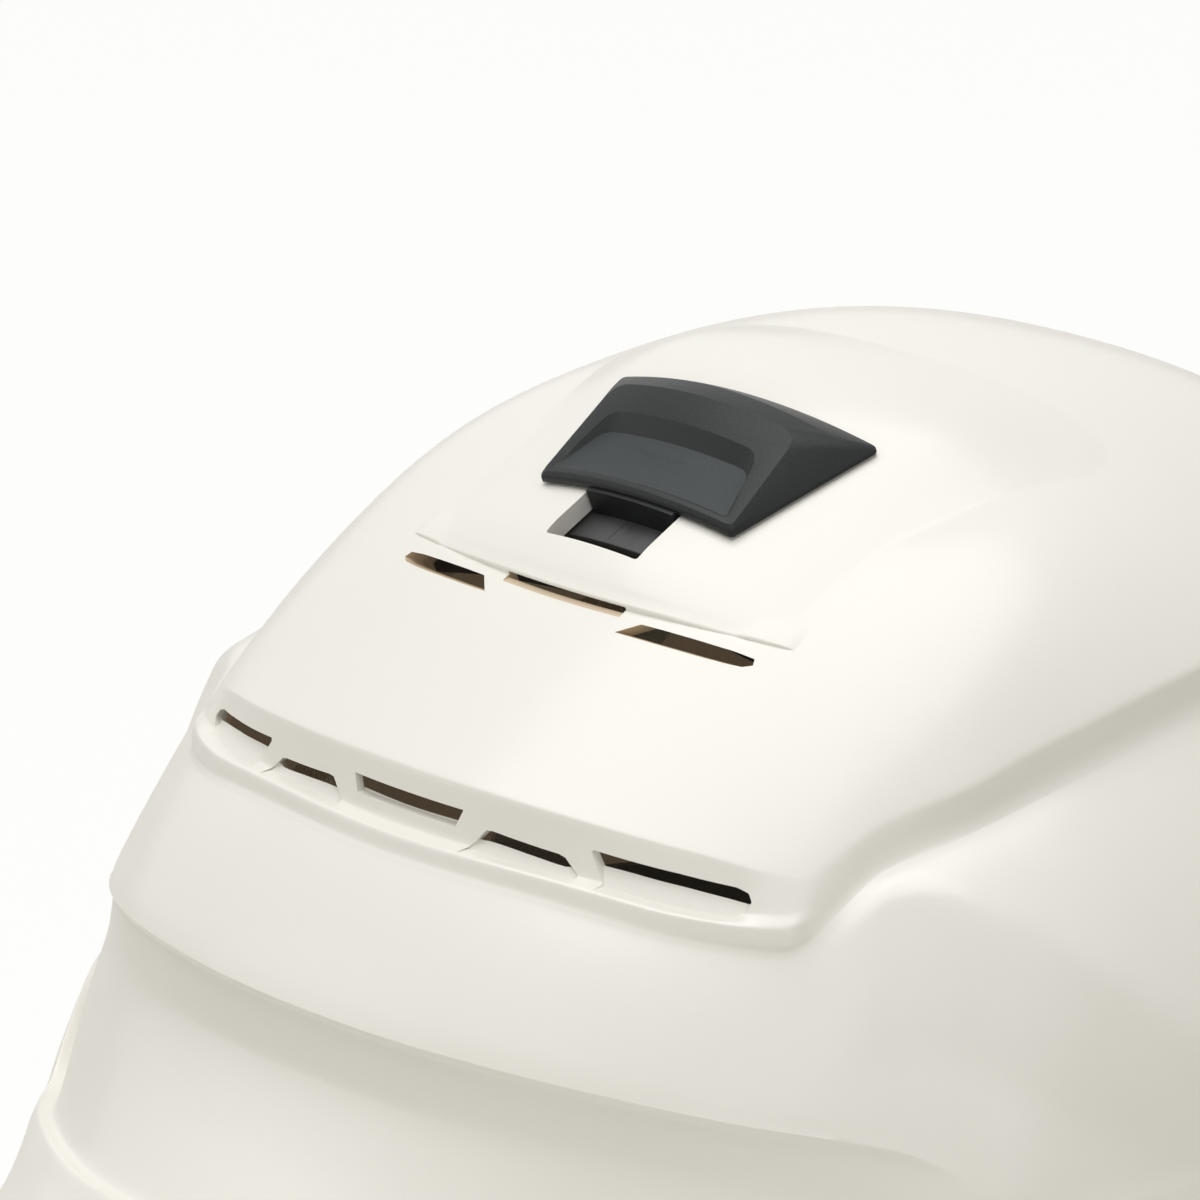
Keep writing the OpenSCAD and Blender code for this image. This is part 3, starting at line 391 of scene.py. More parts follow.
def grid_faces(nu, nv, base=0, flip=False, closed_u=False):
    faces = []
    for i in range(nu if closed_u else nu - 1):
        for j in range(nv - 1):
            a, b = base + i * nv + j, base + ((i + 1) % nu) * nv + j
            quad = (a, a + 1, b + 1, b)
            faces.append(quad[::-1] if flip else quad)
    return faces


def on_dome(outline, slant, level):
    """Moves an outline so that a leaning cut meets the dome along it."""
    return [(x, s - slant * (level - float(dome_n(x, s)))) for x, s in outline]


def prism(name, outline, z0, z1, to_world, slant=0.0, level=0.0):
    """Closed body of an outline in a local plane, drawn from z0 to z1, leaning by slant from a level."""
    flat = [(x, y + slant * (level - z), z) for z in (z0, z1) for x, y in outline]
    m = len(outline)
    return new_object(name, to_world(np.array(flat, float)), end_faces(2, m) + ring_faces(2, m))


def slide_body(name, outline, n0, n1, slant=0.0, level=0.0):
    return prism(name, outline, n0, n1, slide_to_world, slant, level)


def inside(obj):
    """Gives a cutter the shell's inner face material, with its painted shade and painted glow, which the cut
    then shows.
    """
    obj.data.materials.append(bpy.data.materials["shell_inside"])
    return obj


def front_body(name, outline, y0, y1):
    """Closed body of an outline seen from the front, drawn along Y."""
    return prism(name, outline, -y1, -y0, lambda q: np.stack([q[..., 0], -q[..., 2], q[..., 1]], -1))


SPOKE_HALF = np.concatenate([np.arange(0, 30, 1.0), np.arange(30, 52, 0.4), np.arange(52, 100, 1.0),
                             np.arange(100, 180, 1.25)])
SPOKES = np.concatenate([SPOKE_HALF, [180.0], -SPOKE_HALF[:0:-1]])


def shell_profiles():
    """Every spoke's profile, out over the shell and back inside it, and where the inner face begins."""
    outer, outer_soft = outer_controls(SPOKES)
    inner, inner_soft = inner_controls(SPOKES)
    ctrl = np.concatenate([outer, inner], 1)
    edge, below = BONNET_STEPS - 2, BONNET_STEPS + 4
    first_ring, rim, last = outer.shape[1] - len(OUTER_RINGS), outer.shape[1] - 1, ctrl.shape[1] - 1
    inner_bonnet = last - INNER_STEPS + 1
    u = np.concatenate([np.linspace(0, edge, 44)[:-1], spread(edge, below, 9),
                        np.linspace(below, first_ring, 34)[:-1], spread(first_ring, rim + 1, 10),
                        np.linspace(rim + 1, inner_bonnet, 34), np.linspace(inner_bonnet, last, 22)[1:]])
    profiles = rounded_profiles(ctrl, np.concatenate([outer_soft, inner_soft], 1), u)
    each = np.diff(np.concatenate([SPOKES % 360, [360]]))
    return smooth_round(profiles, each, 0.45), int((u <= rim + 0.6).sum()) - 1


def shell_blank():
    """The moulded shell before the platform and the openings, as one closed body."""
    profiles, inner_from = shell_profiles()
    n, m = profiles.shape[0], profiles.shape[1] - 2
    poles = [profiles[:, 0].mean(0), profiles[:, -1].mean(0)]
    verts = np.concatenate([profiles[:, 1:-1].reshape(-1, 3), poles])
    faces = grid_faces(n, m, closed_u=True)
    top, bottom = len(verts) - 2, len(verts) - 1
    faces += [(top, i * m, ((i + 1) % n) * m) for i in range(n)]
    faces += [(bottom, ((i + 1) % n) * m + m - 1, i * m + m - 1) for i in range(n)]
    obj = new_object("shell_outer", verts, faces)
    white = moulded("shell_white", (243, 241, 235), 0.4, 700.0, 0.00002, 0.25, 0.015, coat=0.3)
    obj.data.materials.append(white)
    # Second material: the inner face, with its painted shade and painted glow.
    obj.data.materials.append(painted_inside_shade_and_glow())
    index = np.zeros(len(obj.data.polygons), np.int32)
    column = np.array([poly.vertices[0] for poly in obj.data.polygons])
    index[(column < n * m) & (column % m >= inner_from)] = 1
    index[column == bottom] = 1
    obj.data.polygons.foreach_set("material_index", index)
    return obj


def loops_at(xs, loop):
    """The same closed loop at every x, from pairs of s and n that are numbers or follow x."""
    return np.stack([np.stack([s + 0 * xs, n + 0 * xs], -1) for s, n in loop], 1)


def slide_loft(name, xs, loops):
    """Closed body from one closed loop of (s, n) at each x."""
    n, m = len(xs), loops.shape[1]
    pts = np.concatenate([np.repeat(np.asarray(xs)[:, None, None], m, 1), loops], -1).reshape(-1, 3)
    faces = [(i * m + j, (i + 1) * m + j, (i + 1) * m + (j + 1) % m, i * m + (j + 1) % m)
             for i in range(n - 1) for j in range(m)]
    faces += [tuple(range(m)), tuple(range((n - 1) * m, n * m))[::-1]]
    return new_object(name, slide_to_world(pts), faces)


PLATFORM_HALF, PLATFORM_REAR, PLATFORM_END, PLATFORM_UNDER = 52.0, 20.0, 1.64, 1.6


def platform_blank():
    """Crowned platform that the slider rides on, with a rounded front lip, as one closed body."""
    xs = np.linspace(-PLATFORM_HALF, PLATFORM_HALF, 231)
    lip = lip_s(xs)
    crest = platform_n(xs, lip)
    round_r = lerp(0.5, 0.2, ease((abs(xs) - 31) / 5))
    loop = [(lip, np.minimum(dome_n(xs, lip), crest) - PLATFORM_UNDER)]
    for t in np.linspace(0, 90, 8):
        loop.append((lip + round_r * (1 - cosd(t)), crest - round_r * (1 - sind(t))))
    span = PLATFORM_REAR - lip
    for f in np.linspace(0.04, PLATFORM_END, 84):
        loop.append((lip + f * span, platform_n(xs, lip + f * span)))
    for f in np.linspace(PLATFORM_END, 0.03, 36):
        s = lip + f * span
        loop.append((s, np.minimum(dome_n(xs, s), platform_n(xs, s)) - PLATFORM_UNDER))
    return slide_loft("platform", xs, loops_at(xs, loop))


TRACK_W, TRACK_FRONT, TRACK_REAR = 17.6, -18.2, 6.2
SIDE_WINDOW = [(12.6, -28.5), (17.4, -28.1), (22, -27.5), (26.3, -26.8), (30, -26), (32.6, -25.2),
               (33.7, -24.2), (33.2, -23.2), (30, -23.6), (24, -24.6), (19, -25.3), (15.2, -25.8)]


def mirrored(outline):
    return [(-x, y) for x, y in outline][::-1]


def rounded_box(x0, x1, y0, y1, r, n=5):
    pts = []
    for cx, cy, a0 in ((x1 - r, y1 - r, 0), (x0 + r, y1 - r, 90),
                       (x0 + r, y0 + r, 180), (x1 - r, y0 + r, 270)):
        for k in range(n + 1):
            a = math.radians(a0 + 90 * k / n)
            pts.append((cx + r * math.cos(a), cy + r * math.sin(a)))
    return pts


WINDOW_LEAN, WINDOW_LEVEL = 0.95, -5.2


def cut_platform(shell):
    """Hollows the platform and opens the slider's track and the three windows under its lip."""
    xs = np.linspace(-24, 24, 33)
    front, roof = lip_s(xs) + 1.1, crown_n(xs, -SKIN_T)
    hollow = loops_at(xs, [(front, -16), (front, roof), (9, roof), (9, -16)])
    combine(shell, inside(slide_loft("hollow", xs, hollow)), "DIFFERENCE")
    track = rounded_box(-TRACK_W / 2, TRACK_W / 2, TRACK_FRONT, TRACK_REAR, 0.5, 3)
    combine(shell, slide_body("track", track, -SKIN_T - 1.5, 8), "DIFFERENCE")
    for outline in (SIDE_WINDOW, mirrored(SIDE_WINDOW)):
        outline = on_dome(outline, WINDOW_LEAN, WINDOW_LEVEL)
        window = slide_body("side_window", outline, -15, 1, WINDOW_LEAN, WINDOW_LEVEL)
        combine(shell, inside(window), "DIFFERENCE")
    xs = np.linspace(-11.3, 11.3, 25)
    lip = lip_s(xs)
    crest, dome = platform_n(xs, lip), dome_n(xs, lip)
    loop = [(lip - 2.2, crest - 0.5), (lip + 4.5, crest - 0.5), (lip + 4.5, dome - 9),
            (lip + 2.4, dome - 5.5), (lip - 0.3, dome - 0.2), (lip - 2.2, dome + 0.3)]
    combine(shell, inside(slide_loft("centre_window", xs, loops_at(xs, loop))), "DIFFERENCE")
    return shell


def brow_face(p, z):
    """Plan radius, about the dome's centre, of the upright face at the bonnet's front edge."""
    a = abs(p)
    top = dome_pt(p, table_curve(BONNET_TOP, a), BONNET_RISE * table_curve(BONNET_SHARE, a))
    foot = dome_pt(p, table_curve(BONNET_FOOT, a) + 1.9, np.full_like(a, -0.3))
    r_top = np.hypot(top[..., 0], top[..., 1] - DOME_Y)
    r_foot = np.hypot(foot[..., 0], foot[..., 1] - DOME_Y)
    return lerp(r_foot, r_top, (z - foot[..., 2]) / (top[..., 2] - foot[..., 2])), foot[..., 2]


def plan_loft(name, ps, loops):
    """Closed body from one closed loop of (plan radius, height) at each plan angle."""
    n, m = len(ps), loops.shape[1]
    r, z = loops[..., 0], loops[..., 1]
    pts = np.stack([r * sind(ps)[:, None], DOME_Y - r * cosd(ps)[:, None], z], -1)
    return new_object(name, pts.reshape(-1, 3), ring_faces(n, m) + end_faces(n, m))


# Height at the middle of the brow's windows, the top of the room behind them and the length of their floor
SLOT_Z = 108.0
SLOT_TOP = [[0, 110.3], [10, 110.2], [33, 108.8], [52, 106.2]]
SHELF_LONG = [[0, 2.2], [11, 2.3], [13, 0.6], [15.4, 0.72], [22, 0.38], [27.3, 0.1], [29, 0.4], [31, 1.5],
              [34, 1.75], [43, 1.85], [47, 1.6], [50, 1.25], [52, 0.9], [60, 0.6]]


# Directions of the shelf and into the helmet, as plan radius and height
ALONG, INWARD = np.array((-cosd(50), sind(50))), np.array((-sind(50), -cosd(50)))


def brow_cavity():
    """Room behind the brow's face: over the shelf, then down into the helmet."""
    ps = np.linspace(-33.3, 33.3, 90)
    r, foot = brow_face(ps, np.full_like(ps, SLOT_Z))
    x = abs(r * sind(ps))
    top = table_curve(SLOT_TOP, x) + 0.25
    r_top, _ = brow_face(ps, top)
    r_low, _ = brow_face(ps, foot)
    low = np.stack([r_low - 1.3, foot - 0.9], -1)
    high = np.stack([r_top - 1.3, top], -1)
    low_end, high_end = low + ALONG * table_curve(SHELF_LONG, x)[:, None], high + ALONG * 8.0
    loop = [low, high, high_end, high_end + INWARD * 12.0, low_end + INWARD * 9.0, low_end]
    return plan_loft("brow_cavity", ps, np.stack(loop, 1))


def brow_shelf():
    """Floor of the vent, rising inward from behind the lip."""
    ps = np.linspace(-33.6, 33.6, 90)
    _, foot = brow_face(ps, np.full_like(ps, SLOT_Z))
    r_low, _ = brow_face(ps, foot)
    start = np.stack([r_low + 0.5, foot - 0.75], -1)
    stop = start + ALONG * (table_curve(SHELF_LONG, abs(r_low * sind(ps)))[:, None] + 1.6)
    return plan_loft("brow_shelf", ps, np.stack([start, stop, stop + INWARD * 1.4, start + INWARD * 1.6], 1))


def lip_height(x):
    """Height of the lip under the brow vent at a place across the helmet."""
    ps = np.linspace(0, 36, 73)
    crest = dome_pt(ps, table_curve(BONNET_FOOT, ps) + 1.0, 1.4)
    return np.interp(abs(x), crest[:, 0], crest[:, 2])


def brow_windows():
    """Windows of the vent from the front: high in the middle, low beside it and high at the ends."""

    def over_lip(x0, x1):
        return [(x, float(lip_height(x)) + 0.05) for x in np.linspace(x0, x1, 9)]

    mid = [(-9.6, 107.7), (9.6, 107.7), (10.6, 110.2), (-10.6, 110.2)]
    low = over_lip(12.2, 30.4) + [(27.6, 107.3), (26.6, 107.6), (16, 108.5), (14.9, 108.4)]
    end = over_lip(33.8, 50.6) + [(51.8, 103.6), (52.3, 104.9), (51.6, 105.9), (50, 106.5), (43, 107.6),
                                  (31.4, 109), (31.2, 108.6)]
    return [mid, low, end, mirrored(low), mirrored(end)]


ANCHORS = {"front": (50, 34, 1.5), "side": (97, 18, 0.6), "rear": (140, 22, 0.7)}
SOCKET_W, SOCKET_H, SOCKET_D, KEY_T, KEY_W, KEY_BACK, KEY_FIT = 22.0, 15.0, 6.0, 2.0, 16.0, 1.6, 0.3


def wall_in(anchor, round_by=0.0, up_by=0.0):
    angle, height = np.array([anchor[0] + round_by]), np.array([anchor[1] + up_by])
    return float(dome_rho(angle, height)[0]) + anchor[2] - SHELL_T


def at_socket(anchor):
    """Frame of a socket, in millimetres: x is the wall's normal, z runs up the wall from the mouth."""
    step = 5
    before, after, swing = wall_in(anchor, -step), wall_in(anchor, step), math.radians(step)
    turn = -math.atan((after - before) * math.cos(swing) / ((before + after) * math.sin(swing)))
    lean = math.atan((wall_in(anchor, 0, SOCKET_H) - wall_in(anchor)) / SOCKET_H)
    out = Matrix.Translation((0, DOME_Y, 0)) @ Matrix.Rotation(math.radians(anchor[0] - 90), 4, "Z")
    out = out @ Matrix.Translation((wall_in(anchor), 0, anchor[1]))
    return out @ Matrix.Rotation(turn, 4, "Z") @ Matrix.Rotation(lean, 4, "Y")


def box_mesh(name, x, y, z, place, bevel=0.0):
    """A closed block between pairs of limits, in millimetres, with rounded edges."""
    bm = bmesh.new()
    bmesh.ops.create_cube(bm, size=1)
    for v in bm.verts:
        v.co = Vector([lerp(a, b, c + 0.5) for (a, b), c in zip((x, y, z), v.co)])
    if bevel:
        bmesh.ops.bevel(bm, geom=bm.edges[:], offset=bevel, segments=3, affect="EDGES", profile=0.5)
    bmesh.ops.transform(bm, matrix=place, verts=bm.verts)
    bmesh.ops.scale(bm, vec=(MM, MM, MM), verts=bm.verts)
    return add_object(name, mesh_from(bm, name))


def join(objs, name):
    """One object from several, each keeping its own faces and materials."""
    bpy.ops.object.select_all(action="DESELECT")
    for obj in objs:
        obj.select_set(True)
    bpy.context.view_layer.objects.active = objs[0]
    bpy.ops.object.join()
    objs[0].name = name
    return objs[0]


def mirror_copy(obj):
    """The other side's twin of a piece."""
    twin = add_object(obj.name, obj.data.copy())
    bm = bmesh.new()
    bm.from_mesh(twin.data)
    bmesh.ops.scale(bm, vec=(-1, 1, 1), verts=bm.verts)
    bmesh.ops.reverse_faces(bm, faces=bm.faces)
    bm.to_mesh(twin.data)
    bm.free()
    return twin


def socket(anchor):
    """Moulded pocket on the inside of the wall that a hanger's key pushes into."""
    place, half = at_socket(anchor), KEY_W / 2 + KEY_FIT
    # The front pair reaches less far into the wall, which curves in most there
    root = -0.4 if anchor[0] < 60 else 1.0
    body = box_mesh("socket", (-SOCKET_D, root), (-SOCKET_W / 2, SOCKET_W / 2), (0, SOCKET_H), place, 0.5)
    across = (-KEY_BACK - KEY_T - KEY_FIT, -KEY_BACK + KEY_FIT)
    combine(body, box_mesh("pocket", across, (-half, half), (-1, SOCKET_H - 2), place), "DIFFERENCE")
    window = box_mesh("window", (-SOCKET_D - 1, -KEY_BACK - KEY_T), (-4, 4), (4, SOCKET_H - 4), place, 0.6)
    return shade(combine(body, window, "DIFFERENCE"), 30)


SHUTTER_N, SHUTTER_T, SHUTTER_R, SHUTTER_HALF, RAIL_FRONT, RAIL_REAR = -8.2, 1.6, 136.0, 35.4, -27.0, 16.5


def rail():
    """Guide that the shutter slides in, hanging from the inside of the shell."""
    foot = SHUTTER_N - SHUTTER_T + math.sqrt(SHUTTER_R ** 2 - SHUTTER_HALF ** 2) - SHUTTER_R - 0.35
    s, low = np.linspace(RAIL_FRONT, RAIL_REAR, 24), foot - 1.6
    heights = np.concatenate([dome_n(SHUTTER_HALF + 1.4, s) - 1.5, np.full(24, low)])
    web = np.stack([np.concatenate([s, s[::-1]]), heights], -1)
    upright = slide_loft("rail", [SHUTTER_HALF + 0.4, SHUTTER_HALF + 2.4], np.stack([web, web]))
    lips = np.array([(RAIL_FRONT, low), (RAIL_REAR, low), (RAIL_REAR, foot), (RAIL_FRONT, foot)])
    flange = slide_loft("flange", [SHUTTER_HALF - 2.6, SHUTTER_HALF + 2.4], np.stack([lips, lips]))
    return join([upright, flange], "rail")


def build_shell():
    shell = shell_blank()
    combine(shell, platform_blank(), "UNION")
    cut_platform(shell)
    combine(shell, inside(brow_cavity()), "DIFFERENCE")
    for outline in brow_windows():
        combine(shell, front_body("brow_window", outline, -95, -45), "DIFFERENCE")
    combine(shell, brow_shelf(), "UNION")
    shade(shell, 30)
    inner = [rail()] + [socket(k) for k in ANCHORS.values()]
    for piece in inner[:]:
        # The rail and sockets take the inner face's material, with its painted shade and painted glow.
        piece.data.materials.clear()
        piece.data.materials.append(bpy.data.materials["shell_inside"])
        inner.append(mirror_copy(piece))
    return join([shell] + inner, "shell_outer")


# How high the button rides over the platform
RIDE = 0.45
# Loops of the button from its foot up over the frame and down into the thumb recess. Each has the half width,
# place and height at the front, the same at the rear corners, the height at the rear's middle, and the radii.
BUTTON_LOOPS = [[18.4, -8.8, 0, 24.8, 15.8, 0, 0, 0.6, 1.2],
                [18.4, -8.8, 0.7, 24.8, 15.8, 0.6, 0.6, 0.6, 1.2],
                [18.5, -8.6, 1.1, 21.3, 12.4, 2.5, 3.9, 0.8, 2.0],
                [18.2, -8.1, 1.55, 17.6, 8.8, 4.5, 5.1, 1.2, 3.0],
                [16.9, -7.3, 1.6, 14.2, 3.9, 3.6, 3.9, 1.0, 2.4],
                [16.4, -7.0, 1.45, 14.0, 1.5, 1.75, 1.9, 0.9, 2.0]]


def button_loop(front_x, front_s, front_h, rear_x, rear_s, rear_h, mid_h, front_r, rear_r):
    """Closed loop of (x, s, height over the crown) with rounded corners, wound from the front's middle."""

    def corner(a, b, c, r):
        a, b, c = np.array(a, float), np.array(b, float), np.array(c, float)
        a, c = b + (a - b) * r / np.linalg.norm(a - b), b + (c - b) * r / np.linalg.norm(c - b)
        q = np.linspace(0, 1, 9)[:, None]
        return a * (1 - q) ** 2 + 2 * b * q * (1 - q) + c * q ** 2

    front, rear = (front_x, front_s), (rear_x, rear_s)
    one = corner((0, front_s), front, rear, front_r)
    two = corner(front, rear, (0, rear_s), rear_r)
    back = np.linspace(two[-1], (0, rear_s), 14)[1:]
    half = np.concatenate([np.linspace((0, front_s), one[0], 12)[:-1], one,
                           np.linspace(one[-1], two[0], 16)[1:-1], two, back])
    h = lerp(front_h, rear_h, clamp01((half[:, 1] - front_s) / (rear_s - front_s)))
    n_rear = len(two) + len(back)
    h[-n_rear:] += (mid_h - rear_h) * (1 - (half[-n_rear:, 0] / rear_x) ** 2)
    pts = np.concatenate([half, h[:, None]], 1)
    return np.concatenate([pts, pts[-2:0:-1] * (-1, 1, 1)])


def build_button():
    """The slider's button: a framed wedge with side facets, a rear slope and a thumb recess."""
    loops = [button_loop(*row) for row in BUTTON_LOOPS]
    m = len(loops[0])
    under_tip, top_tip = np.array([0, 3.5, 0]), np.array([0, -2.6, 1.55])
    under = [lerp(under_tip * (1, 1, 0), loops[0], (f, f, 1)) for f in (0.4, 0.72)]
    inner = [lerp(top_tip * (1, 1, 0), loops[-1], (f, f, 1)) for f in (0.72, 0.4)]
    rows = under + loops + inner
    pts = np.concatenate(rows + [np.array([under_tip, top_tip])])
    n = pts[:, 2] + RIDE + crown_n(pts[:, 0])
    end, last = len(rows) * m, (len(rows) - 1) * m
    faces = ring_faces(len(rows), m)
    faces += [(end, (j + 1) % m, j) for j in range(m)]
    faces += [(end + 1, last + j, last + (j + 1) % m) for j in range(m)]
    body = new_object("slider_top", slide_to_world(np.stack([pts[:, 0], pts[:, 1], n], -1)), faces)
    body.data.materials.append(SLIDER_GREY)
    body.data.materials.append(RECESS_GREY)
    for poly in body.data.polygons:
        poly.material_index = int(min(poly.vertices) >= (len(under) + len(loops) - 1) * m)
    edges = body.modifiers.new("edges", "BEVEL")
    edges.width, edges.segments, edges.angle_limit = 0.35 * MM, 3, math.radians(11)
    return shade(apply_modifiers(body), 24)


def closed_sheet(name, top, low, to_world):
    """Closed body between an upper and a lower grid of points."""
    n, m = top.shape[0], top.shape[1]
    pts = np.concatenate([top.reshape(-1, 3), low.reshape(-1, 3)])
    b = n * m
    faces = grid_faces(n, m) + grid_faces(n, m, b, flip=True)
    rim = [i * m for i in range(n)] + [(n - 1) * m + j for j in range(1, m)]
    rim += [i * m + m - 1 for i in range(n - 2, -1, -1)] + list(range(m - 2, 0, -1))
    faces += [(b + one, b + two, two, one) for one, two in zip(rim, rim[1:] + rim[:1])]
    return new_object(name, to_world(pts), faces)


def build_slider():
    """The button with the neck that goes down through the track."""
    body = build_button()
    half = (TRACK_W - 1) / 2
    x, s = np.meshgrid(np.linspace(-half, half, 9), np.array([-9.5, 5.8]), indexing="ij")
    top = np.stack([x, s, crown_n(x) + RIDE + 0.3], -1)
    low = np.stack([x, s, crown_n(x) - SKIN_T - 0.38], -1)
    neck = closed_sheet("neck", top, low, slide_to_world)
    neck.data.materials.append(SLIDER_GREY)
    return join([body, neck], "slider_top")


STRAP_Y, STRAP_W, STRAP_T, STRAP_TOP, STRAP_GAP = 31.0, 20.0, 1.0, 112.0, 0.35
STRAP_OFF_WALL, STRAP_DROP, FOLD_POINTS = 12.5, 3, 9
# Each strap's two anchors with their sides, and its place in the stack over the crown
STRAPS = {"strap_c": ("side", 1, "side", -1, 0), "strap_a": ("front", 1, "rear", -1, 1),
          "strap_b": ("front", -1, "rear", 1, 2)}


def lengths_along(line):
    return np.concatenate([[0], np.cumsum(np.linalg.norm(np.diff(line, axis=0), axis=1))])


def strap_line(name):
    """A strap's middle line as distance along its upright plane and height, and the turn of that plane."""
    first, first_side, last, last_side, level = STRAPS[name]
    top = STRAP_TOP + level * (STRAP_T + STRAP_GAP) - STRAP_T / 2
    halves = []
    for key, side in ((last, last_side), (first, first_side)):
        anchor = ANCHORS[key]
        r = wall_in(anchor) - STRAP_OFF_WALL
        end = np.array([side * r * sind(anchor[0]), DOME_Y - r * cosd(anchor[0])])
        reach, low = np.linalg.norm(end - (0, STRAP_Y)) - STRAP_T / 2, anchor[1] - STRAP_DROP
        t = np.linspace(0, 90, 64)
        halves.append(np.stack([reach * sind(t) ** 0.83, low + (top - low) * cosd(t) ** 0.9], -1))
    turn = math.atan2(end[1] - STRAP_Y, end[0])
    line = np.concatenate([halves[0][::-1] * (-1, 1), halves[1][1:]])
    s = lengths_along(line)
    at = np.linspace(0, s[-1], int(s[-1] / 2.2))
    return np.stack([np.interp(at, s, line[:, 0]), np.interp(at, s, line[:, 1])], -1), turn


def normals_of(line):
    tangent = np.gradient(line, axis=0)
    tangent /= np.linalg.norm(tangent, axis=1)[:, None]
    return np.stack([-tangent[:, 1], tangent[:, 0]], -1)


def strap_point(turn, along, v, z):
    """A point of a strap's upright plane, v to its side."""
    c, s = math.cos(turn), math.sin(turn)
    return (along * c - v * s, STRAP_Y + along * s + v * c, z)


def ribbon(name, line, turn, width, thick, off=0.0):
    """Webbing laid along a line, with thickened selvedges and a map of its length and width in metres."""
    half, t = width / 2, thick / 2
    ring = [(-half, 0), (-half + 0.12, t * 0.8), (-half + 0.5, t), (-half + 1.5, t), (-half + 1.8, t * 0.78)]
    ring += [(v, t * 0.84) for v in np.linspace(-half + 2.4, half - 2.4, 9)]
    ring += [(-a, b) for a, b in ring[4::-1]]
    ring += [(-a, -b) for a, b in ring[1:-1]]
    n, m = len(line), len(ring)
    pts = [strap_point(turn, q[0] + side[0] * (h + off), v, q[1] + side[1] * (h + off))
           for q, side in zip(line, normals_of(line)) for v, h in ring]
    obj = new_object(name, pts, ring_faces(n, m) + end_faces(n, m))
    lengths = lengths_along(line) * MM
    uv = obj.data.uv_layers.new(name="cloth")
    for loop in obj.data.loops:
        i, j = divmod(loop.vertex_index, m)
        uv.data[loop.index].uv = (lengths[i], ring[j][0] * MM)
    return shade(obj, 50)


def stitch(place, start, way, low, high, ends=(0, 0.2, 1.5, 1.7)):
    """One stitch from start along way, which dips from high to low at both ends."""
    return [place(start[0] + way[0] * reach, start[1] + way[1] * reach, h)
            for reach, h in zip(ends, (low, high, high, low))]


def thread(name, runs, radius, material):
    """Sewing thread as one curve: each run is a short stitch that dips at both ends."""
    data = bpy.data.curves.new(name, "CURVE")
    data.dimensions = "3D"
    data.bevel_depth, data.bevel_resolution = radius * MM, 2
    data.use_fill_caps = True
    for run in runs:
        spline = data.splines.new("POLY")
        spline.points.add(len(run) - 1)
        for point, q in zip(spline.points, run):
            point.co = (*(np.asarray(q) * MM), 1)
    curve = add_object(name, data)
    data.materials.append(material)
    mesh = bpy.data.meshes.new_from_object(curve.evaluated_get(bpy.context.evaluated_depsgraph_get()))
    bpy.data.objects.remove(curve)
    return add_object(name, mesh)


def build_strap(name):
    """One strap with the fold of webbing sewn at each end."""
    line, turn = strap_line(name)
    pieces = [ribbon(name, line, turn, STRAP_W, STRAP_T)]
    runs = []
    for part in (line[:FOLD_POINTS], line[-FOLD_POINTS:]):
        pieces.append(ribbon("fold", part, turn, STRAP_W - 0.6, 0.8, -0.85))
        normal = normals_of(part)

        def place(i, v, h):
            along, z = lerp(part[int(i)], part[min(int(i) + 1, FOLD_POINTS - 1)], i % 1) + normal[int(i)] * h
            return strap_point(turn, along, v, z)

        for h in (0.52, -1.28):
            for row in (1.2, 2.4, 5.6, 6.8):
                runs += [stitch(place, (row, v), (0, 1), h * 0.8, h, (0, 0.3, 1.3, 1.6))
                         for v in np.arange(-8, 8, 2.2)]
    for piece in pieces:
        piece.data.materials.append(WEBBING)
    pieces.append(thread("stitches", runs, 0.16, THREAD))
    return join(pieces, name)


BAND_W, BAND_L, BAND_Y, BAND_Z, BAND_SLANT = 79.0, 99.0, 14.0, 33.0, 7.0


def pad_body(name, cols, rows, place, d, channels):
    """Closed pad on a grid: full in the middle, drawn in at its edges and along its sewn channels.

    place(u, v, h) gives the point at two shares across the pad and a height off its back.
    """
    top, low = [], []
    for u in np.linspace(0, 1, cols):
        for v in np.linspace(0, 1, rows):
            edge = min(min(u, 1 - u) * channels["long"], min(v, 1 - v) * channels["high"])
            full = math.sqrt(max(0.0, 1 - (1 - clamp01(edge / channels["round"])) ** 2))
            seam = min([abs(u - q) * channels["long"] for q in channels["at"]] or [99.0])
            pinch = 1 - 0.5 * math.exp(-(seam / 1.3) ** 2)
            border = 1 - 0.3 * math.exp(-((edge - channels["border"]) / 0.8) ** 2)
            top.append(place(u, v, d * (0.18 + 0.82 * full * pinch * border)))
            low.append(place(u, v, d * 0.10 * (1 - full)))
    shape = (cols, rows, 3)
    return closed_sheet(name, np.array(top).reshape(shape), np.array(low).reshape(shape), lambda q: q)


def build_sweatband():
    """Padded forehead band: knitted face, sewn border and upright channels."""
    length, height, half_turn, slant = 152.0, 36.0, 50, math.radians(BAND_SLANT)
    behind, tall = 0.3, 35.6

    def place(u, v, h):
        p = math.radians(lerp(-half_turn, half_turn, u))
        g = -behind - h
        x, y = (BAND_W + g) * math.sin(p), BAND_Y - (BAND_L + g) * math.cos(p)
        return (x, y, BAND_Z - (y - BAND_Y) * math.tan(slant) + (v - 0.5) * tall / math.cos(slant))

    at = [0.14, 0.28, 0.42, 0.58, 0.72, 0.86]
    pad = pad_body("sweatband_pad", 150, 34, place, 2.95,
                   {"long": length, "high": height, "round": 2.4, "border": 3.2, "at": at})
    runs = [stitch(place, (u, v), (1 / length, 0), 1.9, 2.28) for v in (3.2 / height, 1 - 3.2 / height)
            for u in np.arange(3.5 / length, 1 - 3.5 / length, 2.6 / length)]
    runs += [stitch(place, (u, v), (0, 1 / height), 1.3, 1.66) for u in at
             for v in np.arange(5.0 / height, 1 - 6.0 / height, 2.6 / height)]
    return sewn(pad, SWEAT_KNIT, runs)


def sewn(pad, material, runs):
    """A pad with its finish and its stitches."""
    shade(pad, 60)
    pad.data.materials.append(material)
    return join([pad, thread("pad_thread", runs, 0.15, THREAD_DARK)], pad.name)


